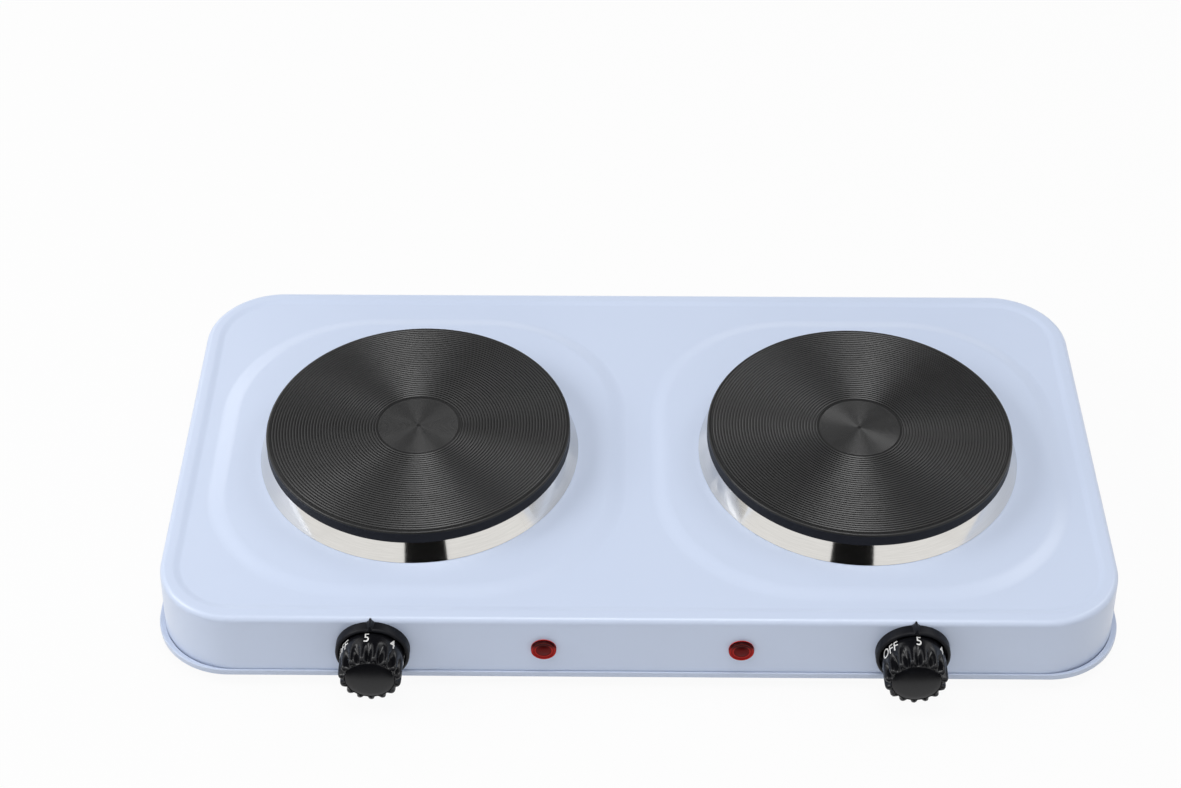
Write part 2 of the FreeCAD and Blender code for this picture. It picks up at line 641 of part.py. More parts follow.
def make_shaft(side):
    rod = cylinder("shaft_rod_" + side, "shaft_radius", "shaft_back + shaft_front", 0, 0, "-shaft_back")
    flat = box("shaft_flat_" + side, "4 * shaft_radius", "shaft_radius", "shaft_front",
               None, "shaft_radius - shaft_flat", "flat_start")
    return cut("shaft_" + side, rod, [flat])


def make_thermostat_frame(side):
    plate = box("frame_plate_" + side, "frame_width", "frame_height", "frame_sheet", None, None, "frame_back")
    bush = cylinder("frame_bush_" + side, "bush_radius", "bush_front - frame_back", 0, 0, "frame_back")
    tools = [cylinder("frame_bore_" + side, "shaft_radius + shaft_fit", "bush_front - frame_back",
                      0, 0, "frame_back")]
    for hand, turn in sides.items():
        tools.append(cylinder(f"frame_hole_{side}_{hand}", "dial_screw_radius + stud_fit", "frame_sheet",
                              f"{turn} * dial_screw_spacing / 2", 0, "frame_back"))
    return cut("frame_" + side, fuse("frame_blank_" + side, [plate, bush]), tools)


def make_switch(side):
    block = box("switch_blank_" + side, "switch_width", "switch_height", "switch_depth",
                None, None, "switch_back")
    well = cylinder("switch_well_" + side, "shaft_radius + switch_room", "shaft_back",
                    0, 0, "-shaft_back - switch_room")
    return cut("switch_" + side, block, [well])


def make_blades(side):
    return compound("blades_" + side, [
        box(f"blade_{side}_{hand}", "blade_sheet", "blade_width", "blade_length",
            f"{turn} * blade_spacing / 2 - blade_sheet / 2", None, "switch_back - blade_length")
        for hand, turn in sides.items()])


def make_dial_screws(side):
    screws = []
    for hand, turn in sides.items():
        x = f"{turn} * dial_screw_spacing / 2"
        head = cylinder(f"dial_head_{side}_{hand}", "dial_screw_head", "dial_head_height",
                        x, 0, "bezel_floor")
        shank = cylinder(f"dial_shank_{side}_{hand}", "dial_screw_radius", "dial_screw_grip",
                         x, 0, "bezel_floor - dial_screw_grip")
        screws.append(fuse(f"dial_screw_{side}_{hand}", [head, shank]))
    return compound("dial_screw_pair_" + side, screws)


def make_control(side):
    pieces = {"dial_bezel": make_bezel(side), "knob": make_knob(side), "thermostat_shaft": make_shaft(side),
              "thermostat_frame": make_thermostat_frame(side), "thermostat_switch": make_switch(side),
              "thermostat_blades": make_blades(side), "dial_screws": make_dial_screws(side)}
    for name, item in pieces.items():
        node(place(item, side + "_knob_x", "front_face", "knob_height", 90), f"{name}_{side}")


def make_lamp(side):
    lens = revolve("lens_" + side, [
        (0, "lens_rise"), ("lens_dome_radius - lens_rim", "lens_rise"),
        ("lens_dome_radius", "lens_rise - lens_rim"), ("lens_dome_radius", "lens_rim"),
        ("lens_radius", "lens_rim"), ("lens_radius", 0), ("stem_radius", 0),
        ("stem_radius", "-stem_length"), ("lens_bore", "-stem_length"), ("lens_bore", "lens_roof"),
        (0, "lens_roof")])
    clip_disc = cylinder("clip_disc_" + side, "clip_radius", "clip_sheet", 0, 0, "-sheet - clip_sheet")
    clip_hole = cylinder("clip_hole_" + side, "stem_radius + stud_fit", "clip_sheet",
                         0, 0, "-sheet - clip_sheet")
    neon = revolve("neon_" + side, [
        (0, "lens_roof - lamp_room"), ("lens_bore / 2", "lens_roof - lamp_room"),
        ("lens_bore - lamp_room", 0), ("lens_bore - lamp_room", "-stem_length"), (0, "-stem_length")])
    pieces = {"pilot_lens": lens, "lens_clip": cut("clip_" + side, clip_disc, [clip_hole]),
              "neon_lamp": neon}
    for name, item in pieces.items():
        node(place(item, side + "_lamp_x", "front_face", "lamp_height", 90), f"{name}_{side}")


# Supply at the back and the leads

def make_gland():
    gland = revolve("gland", [
        ("gland_bore", "gland_reach"), ("gland_nose", "gland_reach"),
        ("gland_neck", "gland_flange_sheet"), ("gland_flange", "gland_flange_sheet"),
        ("gland_flange", 0), ("gland_neck", 0), ("gland_neck", "-gland_tail"),
        ("gland_bore", "-gland_tail")])
    nut = hex_nut("gland_nut_form", "gland_nut_corner", "gland_nut_height", "gland_neck + stud_fit",
                  0, 0, "-sheet - gland_nut_height")
    for item, label in ((gland, "cord_gland"), (nut, "gland_nut")):
        node(place(item, 0, "back_face", "gland_height", -90), label)


def make_supply_block():
    block = box("supply_blank", "supply_width", "supply_depth", "supply_height")
    wells = [cylinder(f"supply_well_{i}", "supply_well_radius", "supply_well_depth",
                      f"{i} * supply_pitch", 0, "supply_height - supply_well_depth") for i in (-1, 0, 1)]
    node(place(cut("supply_cut", block, wells), 0, "supply_y", "floor_top"), "supply_block")


def lead(name, radius, route):
    # Straight runs joined by tangent arcs, as large as the runs beside each corner allow
    points = [FreeCAD.Vector(*(value(number) for number in point)) for point in route]
    edges = []
    last = points[0]
    for before, corner, after in zip(points, points[1:], points[2:]):
        back = before - corner
        ahead = after - corner
        reach = 0.45 * min(back.Length, ahead.Length)
        start = corner + back * (reach / back.Length)
        end = corner + ahead * (reach / ahead.Length)
        half = (math.pi - back.getAngle(ahead)) / 2
        radius_here = reach / math.tan(half)
        towards = (back.normalize() + ahead.normalize()).normalize()
        centre = corner + towards * (radius_here / math.cos(half))
        edges.append(Part.LineSegment(last, start).toShape())
        edges.append(Part.Arc(start, centre - towards * radius_here, end).toShape())
        last = end
    edges.append(Part.LineSegment(last, points[-1]).toShape())
    path = Part.Wire(edges)
    ring = Part.Circle(points[0], points[1] - points[0], value(radius))
    tube = path.makePipeShell([Part.Wire(ring.toShape())], True, True)
    ideal = math.pi * value(radius) ** 2 * path.Length
    if abs(tube.Volume / ideal - 1) > 0.01:
        raise RuntimeError(name + " is not an even tube")
    item = doc.addObject("Part::Feature", name)
    item.Shape = tube
    return item


def make_leads():
    power = []
    lamp = []
    supply_front = "supply_y - supply_depth / 2"
    blade_end = "front_face - switch_back + blade_length"
    block_end = "burner_y + block_start + block_depth"
    block_level = "plate_seat + backing_floor - block_height / 2"
    for side, sign in sides.items():
        knob = side + "_knob_x"
        plate = side + "_plate_x"
        inner = f"{knob} - {sign} * blade_spacing / 2"
        outer = f"{knob} + {sign} * blade_spacing / 2"
        power.append(lead("live_lead_" + side, "lead_radius", [
            (f"{sign} * supply_pitch / 2", supply_front, "lead_height"),
            (f"{sign} * supply_pitch / 2", f"{supply_front} - 26", "lead_height"),
            (f"{sign} * 20", "burner_y + 20", "lead_height"),
            (f"{sign} * 26", "burner_y - 30", "lead_height"),
            (f"{sign} * 60", f"{blade_end} + 24", "lead_height"),
            (f"{inner} - {sign} * 22", f"{blade_end} + 11", "lead_height + 4"),
            (inner, f"{blade_end} + 8", "knob_height"), (inner, blade_end, "knob_height")]))
        power.append(lead("switched_lead_" + side, "lead_radius", [
            (outer, blade_end, "knob_height"), (outer, f"{blade_end} + 8", "knob_height"),
            (f"{plate} + {sign} * 72", "burner_y - 50", "knob_height - 3"),
            (f"{plate} + {sign} * 92", "burner_y", "knob_height"),
            (f"{plate} + {sign} * 84", "burner_y + 50", "knob_height + 10"),
            (f"{plate} + {sign} * 48", f"{block_end} + 26", block_level),
            (f"{plate} + {sign} * 12", f"{block_end} + 22", block_level),
            (f"{plate} + {sign} * 12", block_end, block_level)]))
        power.append(lead("neutral_lead_" + side, "lead_radius", [
            (f"{plate} - {sign} * 12", block_end, block_level),
            (f"{plate} - {sign} * 12", f"{block_end} + 20", block_level),
            (f"{plate} - {sign} * 30", f"{block_end} + 26", "knob_height"),
            (f"{sign} * 44", "supply_y + 5", "lead_height"),
            (f"{sign} * supply_width / 2", "supply_y + 5", "lead_height")]))
        lamp_x = side + "_lamp_x"
        lamp_y = "front_face + stem_length"
        lamp.append(lead("lamp_live_lead_" + side, "lamp_lead_radius", [
            (f"{lamp_x} + {sign} * 1.5", lamp_y, "lamp_height"),
            (f"{lamp_x} + {sign} * 1.5", f"{lamp_y} + 12", "lamp_height"),
            (f"{lamp_x} + {sign} * 22", f"{lamp_y} + 18", "lamp_height"),
            (f"{knob} - {sign} * (switch_width / 2 + 22)", "front_face + 12", "knob_height - 4"),
            (f"{knob} - {sign} * switch_width / 2", "front_face + 12", "knob_height - 4")]))
        lamp.append(lead("lamp_neutral_lead_" + side, "lamp_lead_radius", [
            (f"{lamp_x} - {sign} * 1.5", lamp_y, "lamp_height"),
            (f"{lamp_x} - {sign} * 1.5", f"{lamp_y} + 20", "lamp_height"),
            (f"{sign} * 16", "burner_y - 50", "lead_height"),
            (f"{sign} * 9", "burner_y", "lead_height"),
            (f"{sign} * 2.5", f"{supply_front} - 30", "lead_height"),
            (f"{sign} * 2.5", supply_front, "lead_height")]))
    node(compound("power_lead_set", power), "power_leads")
    node(compound("lamp_lead_set", lamp), "lamp_leads")


make_housing()
make_pan()
make_feet()
make_brackets()
for side_name in sides:
    make_burner(side_name)
    make_control(side_name)
    make_lamp(side_name)
make_gland()
make_supply_block()
make_leads()
doc.recompute()

# Every object must have worked before any file is written
for item in doc.Objects:
    if "Invalid" in item.State or "Error" in item.State:
        raise RuntimeError(f"{item.Name} failed: {item.State}")
for item in nodes:
    if item.Shape.isNull() or not item.Shape.isValid():
        raise RuntimeError(item.Label + " has no valid shape")

os.makedirs("parts", exist_ok=True)
for item in nodes:
    item.Shape.exportStep(f"parts/{item.Label}.step")
    print(item.Label, len(item.Shape.Solids), round(item.Shape.Volume), item.Shape.BoundBox)
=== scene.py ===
import math

import bmesh
import bpy
from mathutils import Matrix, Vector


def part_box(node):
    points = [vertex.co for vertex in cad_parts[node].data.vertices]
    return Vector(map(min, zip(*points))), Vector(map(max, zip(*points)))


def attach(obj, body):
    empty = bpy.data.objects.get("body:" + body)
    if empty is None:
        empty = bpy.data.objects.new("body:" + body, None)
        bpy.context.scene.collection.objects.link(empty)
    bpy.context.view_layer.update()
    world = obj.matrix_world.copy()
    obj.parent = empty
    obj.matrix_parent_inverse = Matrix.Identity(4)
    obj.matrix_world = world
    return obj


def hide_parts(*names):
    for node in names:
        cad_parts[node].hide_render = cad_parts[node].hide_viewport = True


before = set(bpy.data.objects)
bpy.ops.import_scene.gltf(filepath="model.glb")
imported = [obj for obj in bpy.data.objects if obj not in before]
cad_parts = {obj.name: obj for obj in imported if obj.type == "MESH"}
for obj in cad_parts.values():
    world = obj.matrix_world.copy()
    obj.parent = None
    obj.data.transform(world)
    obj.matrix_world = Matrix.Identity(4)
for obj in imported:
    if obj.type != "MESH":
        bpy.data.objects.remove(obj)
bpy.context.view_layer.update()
mm = 0.001
weldGap = 0.002 * mm  # points closer than this are one point
levelGap = 0.01 * mm  # how far off its height a point may lie
grainDepth = 0.05 * mm  # how deep a fine grain goes
sides = ("left", "right")
print("frame loaded:", len(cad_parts), "nodes")


# places read from the frame, in millimetres

def nodeBox(name):
    return [[number / mm for number in corner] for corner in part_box(name)]


def nodeMiddle(name):
    return [(low + high) / 2 for low, high in zip(*nodeBox(name))]


def pairOf(node):  # the middle line and the half distance of a left and right pair
    left, right = (nodeMiddle(f"{node}_{side}")[0] for side in sides)
    return {"left": left, "right": right, "middle": (left + right) / 2, "half": (right - left) / 2}


def sideName(word, side):
    return word + side.capitalize()


burner = pairOf("centre_stud")
burner["y"] = nodeMiddle("centre_stud_left")[1]
burner["seat"] = nodeBox("spill_ring_left")[1][2]
burner["top"] = nodeBox("hotplate_left")[1][2]
dial = pairOf("knob")
dial["z"] = nodeMiddle("knob_left")[2]
lamp = pairOf("pilot_lens")
lamp["z"] = nodeMiddle("pilot_lens_left")[2]
lamp["wall"] = nodeBox("housing")[0][1]
glandZ = nodeMiddle("cord_gland")[2]


# small tools for modelling

def selectNone():
    if bpy.context.object and bpy.context.object.mode != "OBJECT":
        bpy.ops.object.mode_set(mode="OBJECT")
    bpy.ops.object.select_all(action="DESELECT")


def onlySelect(piece):
    selectNone()
    piece.select_set(True)
    bpy.context.view_layer.objects.active = piece


def editPiece(piece):
    onlySelect(piece)
    bpy.ops.object.mode_set(mode="EDIT")


def leaveEdit():
    bpy.ops.object.mode_set(mode="OBJECT")


def settle():  # puts the selected piece's place, turn and scale into its mesh
    bpy.ops.object.transform_apply(location=True, rotation=True, scale=True)


def namePiece(piece, name):
    piece.name = name
    piece.data.name = name


def freshPiece(name, addShape, **settings):
    selectNone()
    addShape(**settings)
    piece = bpy.context.object
    namePiece(piece, name)
    return piece


def pick(piece, kind, test):  # selects the vertices, edges or faces that pass the test
    bpy.ops.mesh.select_mode(type=kind)
    bpy.ops.mesh.select_all(action="DESELECT")
    mesh = bmesh.from_edit_mesh(piece.data)
    for item in {"VERT": mesh.verts, "EDGE": mesh.edges, "FACE": mesh.faces}[kind]:
        if test(item):
            item.select_set(True)
    mesh.select_flush_mode()
    bmesh.update_edit_mesh(piece.data)


def pickAll():
    bpy.ops.mesh.select_mode(type="VERT")
    bpy.ops.mesh.select_all(action="SELECT")


def tidyMesh():  # closes the seam and the poles, then turns the faces out
    pickAll()
    bpy.ops.mesh.remove_doubles(threshold=weldGap)
    bpy.ops.mesh.normals_make_consistent(inside=False)


def applyModifier(piece, kind, **settings):
    onlySelect(piece)
    modifier = piece.modifiers.new(kind.lower(), kind)
    for key, value in settings.items():
        setattr(modifier, key, value)
    bpy.ops.object.modifier_apply(modifier=modifier.name)


def smooth(piece, degrees):
    onlySelect(piece)
    bpy.ops.object.shade_smooth_by_angle(angle=math.radians(degrees))


def move(piece, x=0, y=0, z=0):  # millimetres, straight into the mesh
    onlySelect(piece)
    piece.location = (x * mm, y * mm, z * mm)
    settle()


def twin(piece, name, x=0, y=0, z=0):  # a copy with its own mesh, moved aside
    onlySelect(piece)
    bpy.ops.object.duplicate(linked=False)
    copied = bpy.context.object
    namePiece(copied, name)
    move(copied, x, y, z)
    return copied


def weld(piece, *others):  # joins the others into the piece
    onlySelect(piece)
    for other in others:
        other.select_set(True)
    bpy.ops.object.join()


def ramp(share):  # eases from 0 to 1
    share = min(1, max(0, share))
    return share * share * (3 - 2 * share)


def drawChain(name, spots):  # a chain of edges through these places, left in edit mode
    piece = freshPiece(name, bpy.ops.mesh.primitive_plane_add, size=mm)
    editPiece(piece)
    pickAll()
    bpy.ops.mesh.merge(type="CENTER")
    bpy.ops.transform.translate(value=spots[0])
    for here, there in zip(spots, spots[1:]):
        shift = [end - start for start, end in zip(here, there)]
        bpy.ops.mesh.extrude_region_move(TRANSFORM_OT_translate={"value": shift})
    pickAll()
    return piece


def turned(name, profile, steps, along="Z", closed=False):
    # profile is radius and height in millimetres; along -Y the height comes out of the front wall
    axes = {"Z": (0, 0, 1), "-Y": (0, -1, 0), "Y": (0, 1, 0)}
    up = axes[along]
    points = list(profile) + ([profile[0]] if closed else [])
    spots = [(radius * mm, up[1] * height * mm, up[2] * height * mm) for radius, height in points]
    piece = drawChain(name, spots)
    bpy.ops.mesh.spin(steps=steps, angle=2 * math.pi, center=(0, 0, 0), axis=up)
    tidyMesh()
    leaveEdit()
    return piece


def roundedSheet(name, length, depth, corner, steps, x, y, z):  # a flat sheet, left in edit mode
    piece = freshPiece(name, bpy.ops.mesh.primitive_plane_add, size=1)
    editPiece(piece)
    bpy.ops.mesh.select_all(action="SELECT")
    bpy.ops.transform.resize(value=(length * mm, depth * mm, 1), center_override=(0, 0, 0))
    bpy.ops.mesh.bevel(offset=corner * mm, segments=steps, affect="VERTICES")
    bpy.ops.mesh.select_all(action="SELECT")
    bpy.ops.transform.translate(value=(x * mm, y * mm, z * mm))
    return piece


drill = {"steps": 48, "through": 6}


def drillRod(name, radius, x, y, z, along):  # a cutter for a hole
    turn = (math.pi / 2, 0, 0) if along == "Y" else (0, 0, 0)
    rod = freshPiece(name, bpy.ops.mesh.primitive_cylinder_add, vertices=drill["steps"], radius=radius * mm,
                     depth=drill["through"] * mm, location=(x * mm, y * mm, z * mm), rotation=turn)
    settle()
    return rod


def cutAway(piece, cutters):
    first = cutters[0]
    if len(cutters) > 1:
        weld(first, *cutters[1:])
    applyModifier(piece, "BOOLEAN", operation="DIFFERENCE", solver="EXACT", object=first)
    bpy.data.objects.remove(first)


# node wiring

class Wire:
    def __init__(self, tree, socket=None):
        self.tree = tree
        self.socket = socket

    def node(self, kind, settings=None, inputs=None, output=0):
        made = self.tree.nodes.new("ShaderNode" + kind)
        for key, value in (settings or {}).items():
            setattr(made, key, value)
        for key, value in (inputs or {}).items():
            if isinstance(value, Wire):
                self.tree.links.new(value.socket, made.inputs[key])
            else:
                made.inputs[key].default_value = value
        return Wire(self.tree, made.outputs[output] if made.outputs else None)

    def maths(self, operation, first, second=0.0):
        return self.node("Math", {"operation": operation}, {0: first, 1: second})

    def __add__(self, other):
        return self.maths("ADD", self, other)

    def __sub__(self, other):
        return self.maths("SUBTRACT", self, other)

    def __rsub__(self, other):
        return self.maths("SUBTRACT", other, self)

    def __mul__(self, other):
        return self.maths("MULTIPLY", self, other)

    def __truediv__(self, other):
        return self.maths("DIVIDE", self, other)

    def __rtruediv__(self, other):
        return self.maths("DIVIDE", other, self)

    def __pow__(self, other):
        return self.maths("POWER", self, other)

    def __rpow__(self, other):
        return self.maths("POWER", other, self)

    def __lt__(self, other):
        return self.maths("LESS_THAN", self, other)

    def __gt__(self, other):
        return self.maths("GREATER_THAN", self, other)

    def __abs__(self):
        return self.maths("ABSOLUTE", self)

    __radd__ = __add__
    __rmul__ = __mul__


class Finish:
    def __init__(self, name, **constants):
        self.material = bpy.data.materials.new(name)
        self.material.use_nodes = True
        self.tree = self.material.node_tree
        self.shader = self.tree.nodes["Principled BSDF"]
        for key, value in constants.items():
            self.shader.inputs[key.replace("_", " ")].default_value = value
        self.add = Wire(self.tree).node
        self.place = self.add("TexCoord", output="Object")

    def feed(self, **links):
        for key, wire in links.items():
            self.tree.links.new(wire.socket, self.shader.inputs[key.replace("_", " ")])

    def axes(self):
        parts = self.add("SeparateXYZ", inputs={"Vector": self.place}).socket.node.outputs
        return [Wire(self.tree, parts[axis]) for axis in "XYZ"]

    def noise(self, scale, detail=2.0, rough=0.5, at=None):
        return self.add("TexNoise", inputs={"Vector": at or self.place, "Scale": scale,
                                            "Detail": detail, "Roughness": rough})

    def blend(self, share, low, high):
        mixed = self.add("Mix", {"data_type": "RGBA"}, {"Factor": share}, output=2)
        for key, colour in ((6, low), (7, high)):
            if isinstance(colour, Wire):
                self.tree.links.new(colour.socket, mixed.socket.node.inputs[key])
            else:
                mixed.socket.node.inputs[key].default_value = (*colour, 1)
        return mixed

    def bump(self, height, strength, distance):
        return self.add("Bump", inputs={"Strength": strength, "Distance": distance, "Height": height})

    def aboutBurner(self):  # distance from the nearer burner's axis, and the angle round it
        x, y, z = self.axes()
        across = abs(x - burner["middle"] * mm) - burner["half"] * mm
        away = y - burner["y"] * mm
        radius = (across * across + away * away) ** 0.5
        return radius, across.maths("ARCTAN2", away, across), z


# finishes

shellEnamel = {"dark": (0.615, 0.70, 0.882), "light": (0.645, 0.73, 0.905), "cloudScale": 9, "ior": 1.5,
               "rough": 0.32, "roughSpan": 0.1, "sheenScale": 30, "coat": 0.28, "coatRough": 0.22,
               "peelScale": 420, "peel": 0.12, "peelDepth": 0.1, "speckScale": 55, "speckSize": 0.02,
               "speckChance": 0.95, "speckDepth": 0.7, "speck": (0.2, 0.2, 0.22)}
# pan paint: the housing enamel made darker, which paints shade onto the pan's lip
shadedPanEnamel = dict(shellEnamel, dark=(0.55, 0.625, 0.78), light=(0.58, 0.655, 0.81), speckChance=0.99)


def enamelFinish(name, look):
    made = Finish(name, IOR=look["ior"], Coat_Weight=look["coat"], Coat_Roughness=look["coatRough"])
    cloud = made.noise(look["cloudScale"], 2)
    tone = made.blend(cloud, look["dark"], look["light"])
    cells = made.add("TexVoronoi", {"feature": "F1"}, {"Vector": made.place, "Scale": look["speckScale"]})
    chance = made.add("SeparateColor", inputs={"Color": Wire(made.tree, cells.socket.node.outputs["Color"])})
    speck = (cells < look["speckSize"]) * (chance > look["speckChance"])
    made.feed(Base_Color=made.blend(speck * look["speckDepth"], tone, look["speck"]),
              Roughness=made.noise(look["sheenScale"], 3) * look["roughSpan"] + look["rough"],
              Normal=made.bump(made.noise(look["peelScale"], 2), look["peel"], look["peelDepth"] * mm))
    return made.material


# the groove colour is painted shade in the grooves of the turned face
castCoat = {"dark": (0.0165, 0.0165, 0.0168), "light": (0.026, 0.026, 0.0263),
            "grooveShade": (0.004, 0.004, 0.0043), "grooveLevel": 0.22, "cloudScale": 240, "cloudShare": 0.7,
            "rough": 0.25, "roughSpan": 0.1, "sheenScale": 90, "specular": 0.36, "turned": 0.5,
            "grainScale": 2600, "grain": 0.004}


def castFinish(name, look):  # grey on the turned face, with painted shade in the grooves
    made = Finish(name, Specular_IOR_Level=look["specular"], Anisotropic=look["turned"])
    height = made.axes()[2]
    grain = made.noise(look["grainScale"], 3)
    cloud = made.noise(look["cloudScale"], 4)
    mottle = cloud * look["cloudShare"] + grain * (1 - look["cloudShare"])
    tone = made.blend(mottle, look["dark"], look["light"])
    # painted shade: everything lower than grooveLevel below the turned face gets the darker groove colour
    tone = made.blend(height < (burner["top"] - look["grooveLevel"]) * mm, tone, look["grooveShade"])
    made.feed(Base_Color=tone, Normal=made.bump(grain * look["grain"], 1.0, 1.0 * mm),
              Roughness=made.noise(look["sheenScale"], 3) * look["roughSpan"] + look["rough"])
    return made.material


polish = {"dark": (0.62, 0.605, 0.58), "light": (0.78, 0.765, 0.735), "rough": 0.04, "roughSpan": 0.07,
          "roundScale": 6, "acrossScale": 2500, "brushDetail": 3, "brushRough": 0.6, "brush": 0.02}


def steelFinish(name, look):
    made = Finish(name, Metallic=1.0)
    radius, angle, height = made.aboutBurner()
    along = made.add("CombineXYZ", inputs={0: angle * look["roundScale"], 1: height * look["acrossScale"],
                                           2: radius * look["acrossScale"]})
    brush = made.noise(1.0, look["brushDetail"], look["brushRough"], along)
    made.feed(Base_Color=made.blend(brush, look["dark"], look["light"]),
              Roughness=brush * look["roughSpan"] + look["rough"],
              Normal=made.bump(brush, look["brush"], grainDepth))
    return made.material


def grainFinish(name, look):  # moulded, cast or plated surfaces with a fine grain
    made = Finish(name, Metallic=look.get("metal", 0.0), Specular_IOR_Level=look.get("specular", 0.5),
                  Transmission_Weight=look.get("clear", 0.0))
    cloud = made.noise(look["cloudScale"], 3)
    grain = made.noise(look["grainScale"], 3)
    made.feed(Base_Color=made.blend(cloud, look["dark"], look["light"]),
              Roughness=cloud * look["roughSpan"] + look["rough"],
              Normal=made.bump(grain, look["grain"], grainDepth))
    return made.material


looks = {
    "black_plastic": {"dark": (0.004, 0.0042, 0.0055), "light": (0.007, 0.0072, 0.0092), "cloudScale": 160,
                      "rough": 0.17, "roughSpan": 0.1, "grainScale": 1800, "grain": 0.015, "specular": 0.3},
    "dark_plastic": {"dark": (0.005, 0.0054, 0.0078), "light": (0.008, 0.0085, 0.0112), "cloudScale": 120,
                     "rough": 0.36, "roughSpan": 0.16, "grainScale": 2200, "grain": 0.12, "specular": 0.16},
    # the plate's side: the iron made darker and less glossy; the darker colour is painted shade
    "shaded_plate_side": {"dark": (0.005, 0.0055, 0.0085), "light": (0.0085, 0.009, 0.013), "cloudScale": 150,
                   "rough": 0.45, "roughSpan": 0.15, "grainScale": 2000, "grain": 0.2, "specular": 0.15},
    "rubber": {"dark": (0.016, 0.016, 0.016), "light": (0.03, 0.03, 0.03), "cloudScale": 140,
               "rough": 0.7, "roughSpan": 0.2, "grainScale": 1500, "grain": 0.35, "specular": 0.3},
    "zinc_steel": {"dark": (0.42, 0.42, 0.4), "light": (0.62, 0.62, 0.6), "cloudScale": 220, "metal": 1.0,
                   "rough": 0.26, "roughSpan": 0.22, "grainScale": 2400, "grain": 0.15},
    "ceramic": {"dark": (0.72, 0.69, 0.61), "light": (0.83, 0.81, 0.75), "cloudScale": 90,
                "rough": 0.55, "roughSpan": 0.2, "grainScale": 1600, "grain": 0.3},
    "brass": {"dark": (0.6, 0.42, 0.16), "light": (0.76, 0.56, 0.25), "cloudScale": 200, "metal": 1.0,
              "rough": 0.25, "roughSpan": 0.2, "grainScale": 2200, "grain": 0.12},
    "lamp_glass": {"dark": (0.86, 0.8, 0.74), "light": (0.93, 0.9, 0.86), "cloudScale": 200, "clear": 0.85,
                   "rough": 0.04, "roughSpan": 0.06, "grainScale": 900, "grain": 0.05},
    "lead_sleeve": {"dark": (0.42, 0.4, 0.35), "light": (0.55, 0.53, 0.48), "cloudScale": 260,
                    "rough": 0.5, "roughSpan": 0.2, "grainScale": 2600, "grain": 0.3},
    "ink": {"dark": (0.78, 0.78, 0.77), "light": (0.88, 0.88, 0.87), "cloudScale": 700,
            "rough": 0.4, "roughSpan": 0.15, "grainScale": 2600, "grain": 0.1},
}

# red lens: the deep colour is painted shade at the top, the edge colour a painted highlight on the ridges and
# the flange
redLensLook = {"deep": (0.03, 0.001, 0.0014), "middle": (0.13, 0.007, 0.007), "outer": (0.27, 0.011, 0.009),
           "edge": (0.68, 0.036, 0.028), "inner": 4.05, "outerRing": 5.6, "ridge": 0.42, "flange": 0.42,
           "ridgeHighlight": 0.5, "ridgeHighlightLeast": 0.15, "top": 3.4, "low": 0.8, "specular": 0.06, "ior": 1.49,
           "rough": 0.16, "roughSpan": 0.1, "sheenScale": 600, "grainScale": 900, "grain": 0.05}


def lensFinish(name, look):  # deep red, with painted highlights on the ridges and the flange edge and painted shade towards the top
    made = Finish(name, Specular_IOR_Level=look["specular"], IOR=look["ior"])
    x, y, z = made.axes()
    across = abs(x - lamp["middle"] * mm) - lamp["half"] * mm
    rise = z - lamp["z"] * mm
    radius = (across * across + rise * rise) ** 0.5
    lower = made.add("MapRange", inputs={"Value": rise, "From Min": look["top"] * mm,
                                         "From Max": look["low"] * mm})
    tone = made.blend(radius > look["inner"] * mm, look["middle"], look["outer"])
    # painted shade: the lens turns deep red towards its top
    tone = made.blend(lower, look["deep"], tone)
    # painted highlights: bright rings at the two ridges, stronger low down
    for ridge in (look["inner"], look["outerRing"]):
        near = abs(radius - ridge * mm) / (look["ridge"] * mm)
        glow = made.add("Math", {"operation": "SUBTRACT", "use_clamp": True}, {0: 1.0, 1: near})
        tone = made.blend(glow * (lower * look["ridgeHighlight"] + look["ridgeHighlightLeast"]), tone, look["edge"])
    # painted highlight: the flange edge next to the wall
    tone = made.blend(y > (lamp["wall"] - look["flange"]) * mm, tone, look["edge"])
    made.feed(Base_Color=tone,
              Roughness=made.noise(look["sheenScale"], 2) * look["roughSpan"] + look["rough"],
              Normal=made.bump(made.noise(look["grainScale"], 2), look["grain"], grainDepth))
    return made.material


finishes = {slot: grainFinish(slot + "Finish", look) for slot, look in looks.items()}
finishes["housing_paint"] = enamelFinish("shellEnamel", shellEnamel)
finishes["pan_paint"] = enamelFinish("shadedPanEnamel", shadedPanEnamel)
finishes["cast_iron"] = castFinish("turnedIron", castCoat)
finishes["stainless"] = steelFinish("ringSteel", polish)
finishes["red_lens"] = lensFinish("redLens", redLensLook)
print("finishes made:", len(finishes))


def dress(piece, finish, body, *nodes):  # finish, body and the frame nodes that the piece stands for
    piece.data.materials.clear()
    piece.data.materials.append(finishes[finish])
    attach(piece, body)
    if nodes:
        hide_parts(*nodes)


# housing: one pressed sheet with a low step inside its rim and a raised seat under each burner

